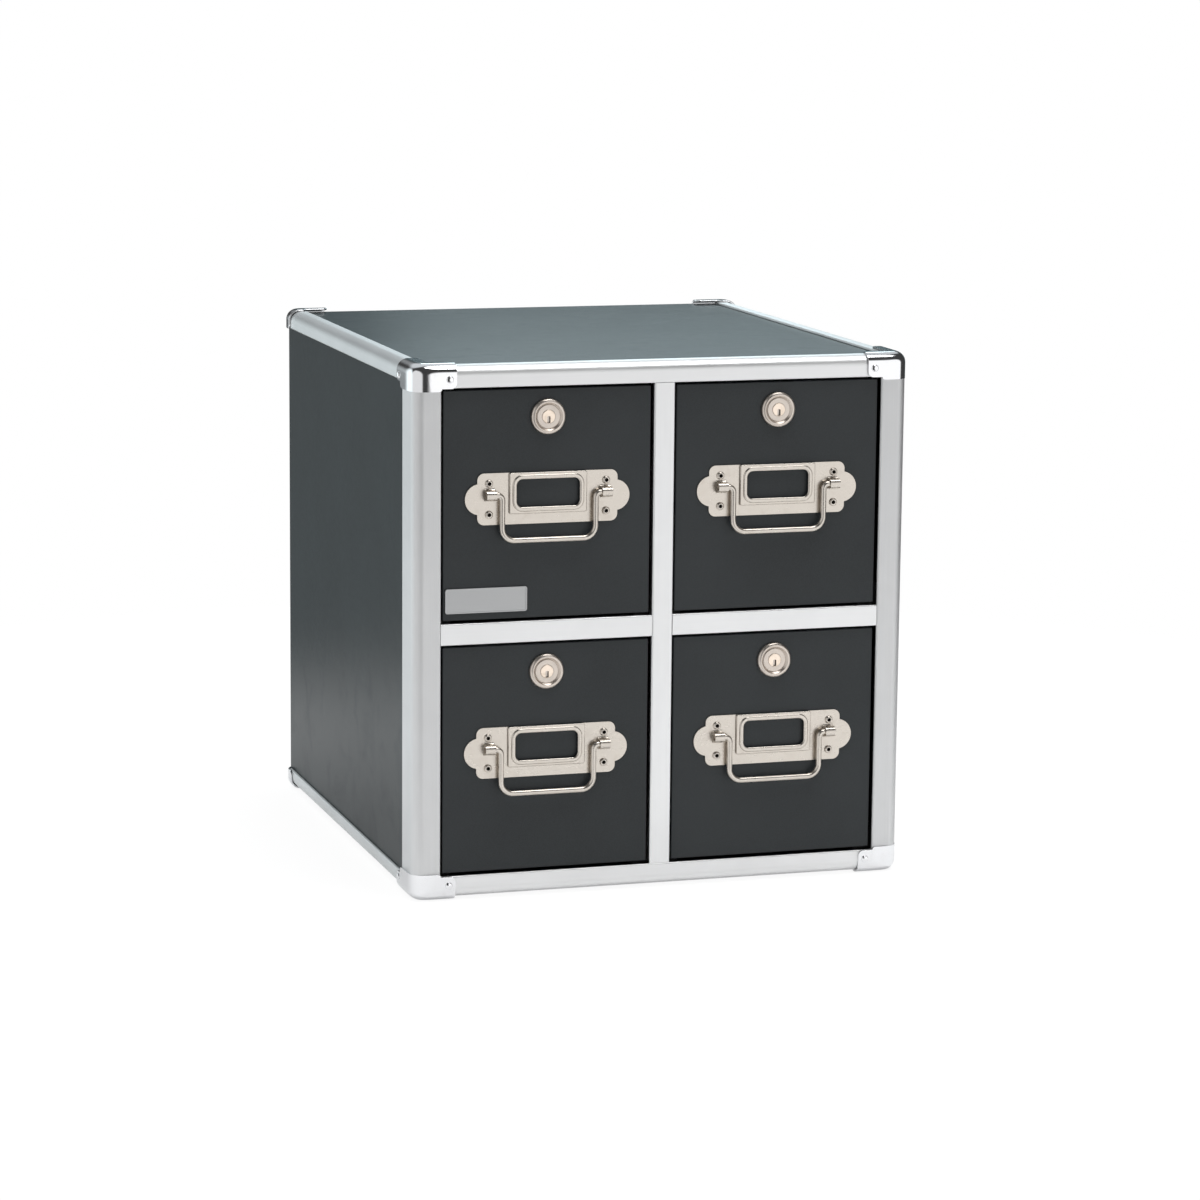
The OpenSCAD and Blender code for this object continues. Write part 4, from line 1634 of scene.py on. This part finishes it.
@dataclass
class CamLocks:
    """Cam locks: a rolled bezel about a sunk face, and a plug with a keyhole."""

    bezel: float = 12.75 * MM
    roll: float = 2.3 * MM
    height: float = 3.5 * MM
    land: float = 0.5 * MM
    slope: float = 0.9 * MM
    sunk: float = 1.1 * MM
    line: float = 0.4 * MM
    bore: float = 4.85 * MM
    bore_depth: float = 1.2 * MM
    ease: float = 0.15 * MM
    barrel: float = 9 * MM
    barrel_back: float = 9.5 * MM
    plug: float = 4.8 * MM
    plug_back: float = 9.8 * MM
    plug_face: float = 2.8 * MM
    plug_round: float = 0.4 * MM
    plug_ease: float = 0.12 * MM
    key: tuple[float, float] = (2.3 * MM, 4.6 * MM)
    key_up: float = 0.5 * MM
    key_depth: float = 4 * MM
    key_round: float = 0.6 * MM
    tang: float = 5 * MM
    tang_over: float = 0.2 * MM
    cam: float = 2 * MM
    peen: tuple[float, float] = (3.78 * MM, 1.2 * MM)
    peen_round: float = 0.6 * MM

    def body(self) -> Workpiece:
        """Models the bezel and barrel on z = 0, facing +Z.

        Returns:
            The workpiece.
        """
        piece = Workpiece.rod("lock_master", (0, 0, self.height / 2), self.bezel, self.height, sides=72)
        piece.bevel_edges(lambda edge: at_height(edge, self.height), self.roll, steps=8)
        face = self.bezel - self.roll
        steps = ((self.land, 0), (self.slope, -self.sunk), (self.line, -self.line),
                 (self.line, self.line))
        for width, depth in steps:
            piece.inset(is_crown, width, depth)
            face -= width
        piece.inset(is_crown, face - self.bore)
        piece.extrude(is_crown, (0, 0, -self.bore_depth))
        piece.inset(is_foot, self.bezel - self.barrel)
        piece.extrude(is_foot, (0, 0, -self.barrel_back))
        return piece.clean().soften(self.ease, above=40).smooth(below=36)

    def plug_piece(self) -> Workpiece:
        """Models the plug with its keyhole, and the tang and peened end that carry the cam.

        Returns:
            The workpiece.
        """
        length = self.plug_face + self.plug_back
        piece = Workpiece.rod("plug_master", (0, 0, self.plug_face - length / 2), self.plug, length,
                              sides=48)
        piece.bevel_edges(lambda edge: at_height(edge, self.plug_face), self.plug_round, steps=3)
        foot = self.key_up - self.plug
        slot = Workpiece.block("slot", (-self.key[0] / 2, foot, self.plug_face - self.key_depth),
                               (self.key[0] / 2, foot + self.key[1], 2 * self.plug_face))
        slot.bevel_edges(lambda edge: runs_along(edge, Axis.Z), self.key_round, steps=4)
        piece.cut(slot)
        half, over = self.tang / 2, self.tang_over
        tang_back = self.plug_back + self.cam
        piece.unite(Workpiece.block("tang", (-half, -half, -tang_back - over),
                                    (half, half, over - self.plug_back)))
        radius, height = self.peen
        peen = Workpiece.rod("peen", (0, 0, -tang_back - height / 2), radius, height, sides=32)
        peen.bevel_edges(lambda edge: at_height(edge, -tang_back - height), self.peen_round, steps=4)
        return piece.unite(peen).soften(self.plug_ease, above=50).clean().smooth(below=36)

    def build(self, shop: Workshop) -> None:
        """Models the lock's pieces, copies them, and dresses the nuts and cams.

        Args:
            shop: Where the finished pieces are sent.
        """
        place = on_front("lock_body")
        shop.ship_to_bays(self.body().place(place), "lock_body", LOCK_CHROME)
        shop.ship_to_bays(self.plug_piece().place(place), "lock_plug", LOCK_BRASS)
        for bay in Bay:
            shop.keep(f"{bay.value}_lock_nut", ZINC)
            shop.keep(f"{bay.value}_lock_cam", ZINC)


@dataclass
class BadgePlate:
    """The bare plate on the first drawer: a sheet with a raised rim about a sunk field."""

    rim: float = 0.9 * MM
    sunk: float = 0.35 * MM
    corner: float = 1.6 * MM
    ease: float = 0.12 * MM

    def build(self, shop: Workshop) -> None:
        """Models the plate in its place.

        Args:
            shop: Where the finished pieces are sent.
        """
        piece = Workpiece.block("badge_plate", *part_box("badge_plate"))
        piece.bevel_edges(lambda edge: runs_along(edge, Axis.Y), self.corner, steps=4)
        piece.inset(lambda face: face.normal.y < -ALIGNED, self.rim)
        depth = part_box("badge_plate")[0].y
        field = max(piece.obj.data.polygons, key=lambda face: face.area * (face.normal.y < -FACING))
        centre = Vector(field.center)
        piece.extrude(lambda face: face.normal.y < -ALIGNED and (middle(face) - centre).length < MM
                      and near(middle(face).y, depth), (0, self.sunk, 0))
        piece.soften(self.ease, above=40).clean().smooth()
        shop.ship(piece, "badge_plate", BADGE)


@dataclass(frozen=True)
class Lamp:
    """A square soft lamp: its place, side, power and colour, and whether metal mirrors it."""

    name: str
    at: tuple[float, float, float]
    side: float
    power: float
    colour: Colour = (1, 1, 1)
    mirrored: bool = True


@dataclass(frozen=True)
class Glow:
    """A bright part of the surround: its direction, the angles it fades between, its top and colour."""

    toward: tuple[float, float, float]
    inner: float
    outer: float
    top: float
    colour: Colour


@dataclass
class Studio:
    """A white paper floor, soft lamps, a dim surround with bright walls, and the camera."""

    floor_radius: float = 1.0
    floor_gap: float = 0.2 * MM
    aim_height: float = 0.18
    top_fade: float = 10
    dim: float = 0.05
    azimuth: float = -17.296
    elevation: float = 9.955
    roll: float = 0.535
    camera_at: tuple[float, float, float] = (-0.88105, -2.87704, 0.70491)
    lens: float = 120.2
    sensor: float = 36
    lamps: tuple[Lamp, ...] = (
        Lamp("overhead", (0.45, -0.5, 2.3), 1.1, 20),
        Lamp("back", (0.56, 1.5, 1.08), 0.68, 3.4, (0.80, 0.95, 1.0)),
        Lamp("wash", (0.0, -0.3, 3.0), 3.4, 86, mirrored=False))
    glows: tuple[Glow, ...] = (
        Glow((0.56, -0.83, -0.06), 28, 38, 60, (1.2, 1.2, 1.2)),
        Glow((-0.94, -0.34, -0.05), 38, 50, 35, (0.85, 0.85, 0.85)),
        Glow((-0.70, 0.71, -0.05), 16, 34, 30, (1.18, 1.28, 1.31)),
        Glow((0.0, 0.62, 0.78), 27, 40, 78, (0.66, 0.69, 0.71)),
        Glow((0.46, 0.88, 0.05), 10, 28, 12, (0.07, 0.10, 0.11)))

    def floor(self, shop: Workshop) -> None:
        """Lays the floor just under the object.

        Args:
            shop: Where its finish is made.
        """
        paper = Workpiece.disc("studio_floor", (0, 0, -self.floor_gap), self.floor_radius, sides=96)
        paper.obj.data.materials.append(shop.material(FLOOR))

    def hang(self, lamp: Lamp) -> None:
        """Hangs a lamp that points at the object.

        Args:
            lamp: The lamp.
        """
        data = bpy.data.lights.new(lamp.name, "AREA")
        data.shape = "SQUARE"
        data.size = lamp.side
        data.energy = lamp.power
        data.color = lamp.colour
        made = bpy.data.objects.new(lamp.name, data)
        bpy.context.scene.collection.objects.link(made)
        made.location = lamp.at
        aim = Vector((0, 0, self.aim_height)) - Vector(lamp.at)
        made.rotation_euler = aim.to_track_quat("-Z", "Y").to_euler()
        made.visible_glossy = lamp.mirrored
        made.visible_camera = False

    def surround(self) -> None:
        """Makes the surround that the metal mirrors; the camera itself sees plain white."""
        world = bpy.data.worlds.new("studio")
        bpy.context.scene.world = world
        world.use_nodes = True
        graph = Graph(world.node_tree)
        ray = graph.node("ShaderNodeTexCoord", out="Generated")
        height = graph.node("ShaderNodeSeparateXYZ", {}, {0: ray}, out="Z")
        colour: Any = (self.dim,) * 3
        for glow in self.glows:
            lean = graph.node("ShaderNodeVectorMath", {"operation": "DOT_PRODUCT"},
                              {0: ray, 1: Vector(glow.toward).normalized()}, out="Value")
            inside = graph.spread(lean, math.cos(math.radians(glow.outer)),
                                  math.cos(math.radians(glow.inner)))
            under = 1 - graph.spread(height, math.sin(math.radians(glow.top)),
                                     math.sin(math.radians(glow.top + self.top_fade)))
            colour = graph.mix(inside * under, colour, glow.colour)
        mirrored = graph.node("ShaderNodeBackground", {}, {"Color": colour})
        plain = graph.node("ShaderNodeBackground", {}, {"Color": (1, 1, 1, 1)})
        seen = graph.node("ShaderNodeLightPath", out="Is Camera Ray")
        shown = graph.node("ShaderNodeMixShader", {}, {0: seen, 1: mirrored, 2: plain})
        graph.node("ShaderNodeOutputWorld", {}, {"Surface": shown})

    def camera(self) -> None:
        """Stands the camera at the photograph's place."""
        data = bpy.data.cameras.new("camera")
        data.lens = self.lens
        data.sensor_width = self.sensor
        made = bpy.data.objects.new("camera", data)
        bpy.context.scene.collection.objects.link(made)
        turn = (Matrix.Rotation(math.radians(self.azimuth), 4, "Z")
                @ Matrix.Rotation(math.radians(90 - self.elevation), 4, "X")
                @ Matrix.Rotation(math.radians(self.roll), 4, "Z"))
        made.matrix_world = Matrix.Translation(self.camera_at) @ turn
        bpy.context.scene.camera = made

    def build(self, shop: Workshop) -> None:
        """Sets up the whole studio.

        Args:
            shop: Where the floor's finish is made.
        """
        self.floor(shop)
        for lamp in self.lamps:
            self.hang(lamp)
        self.surround()
        self.camera()
        view = bpy.context.scene.view_settings
        view.view_transform = "Standard"
        view.look = "None"


def main() -> None:
    """Builds every sub-assembly, then the studio."""
    logging.basicConfig(level=logging.INFO, format="%(name)s: %(message)s")
    shop = Workshop(frame["record"])
    assemblies = (Boards(), MetalEdges(), DividerBars(), CornerCaps(), DrawerBoxes(), LabelPulls(),
                  CamLocks(), BadgePlate())
    for assembly in assemblies:
        LOG.info("%s", type(assembly).__name__)
        assembly.build(shop)
    Studio().build(shop)


if __name__ == "__main__":
    main()
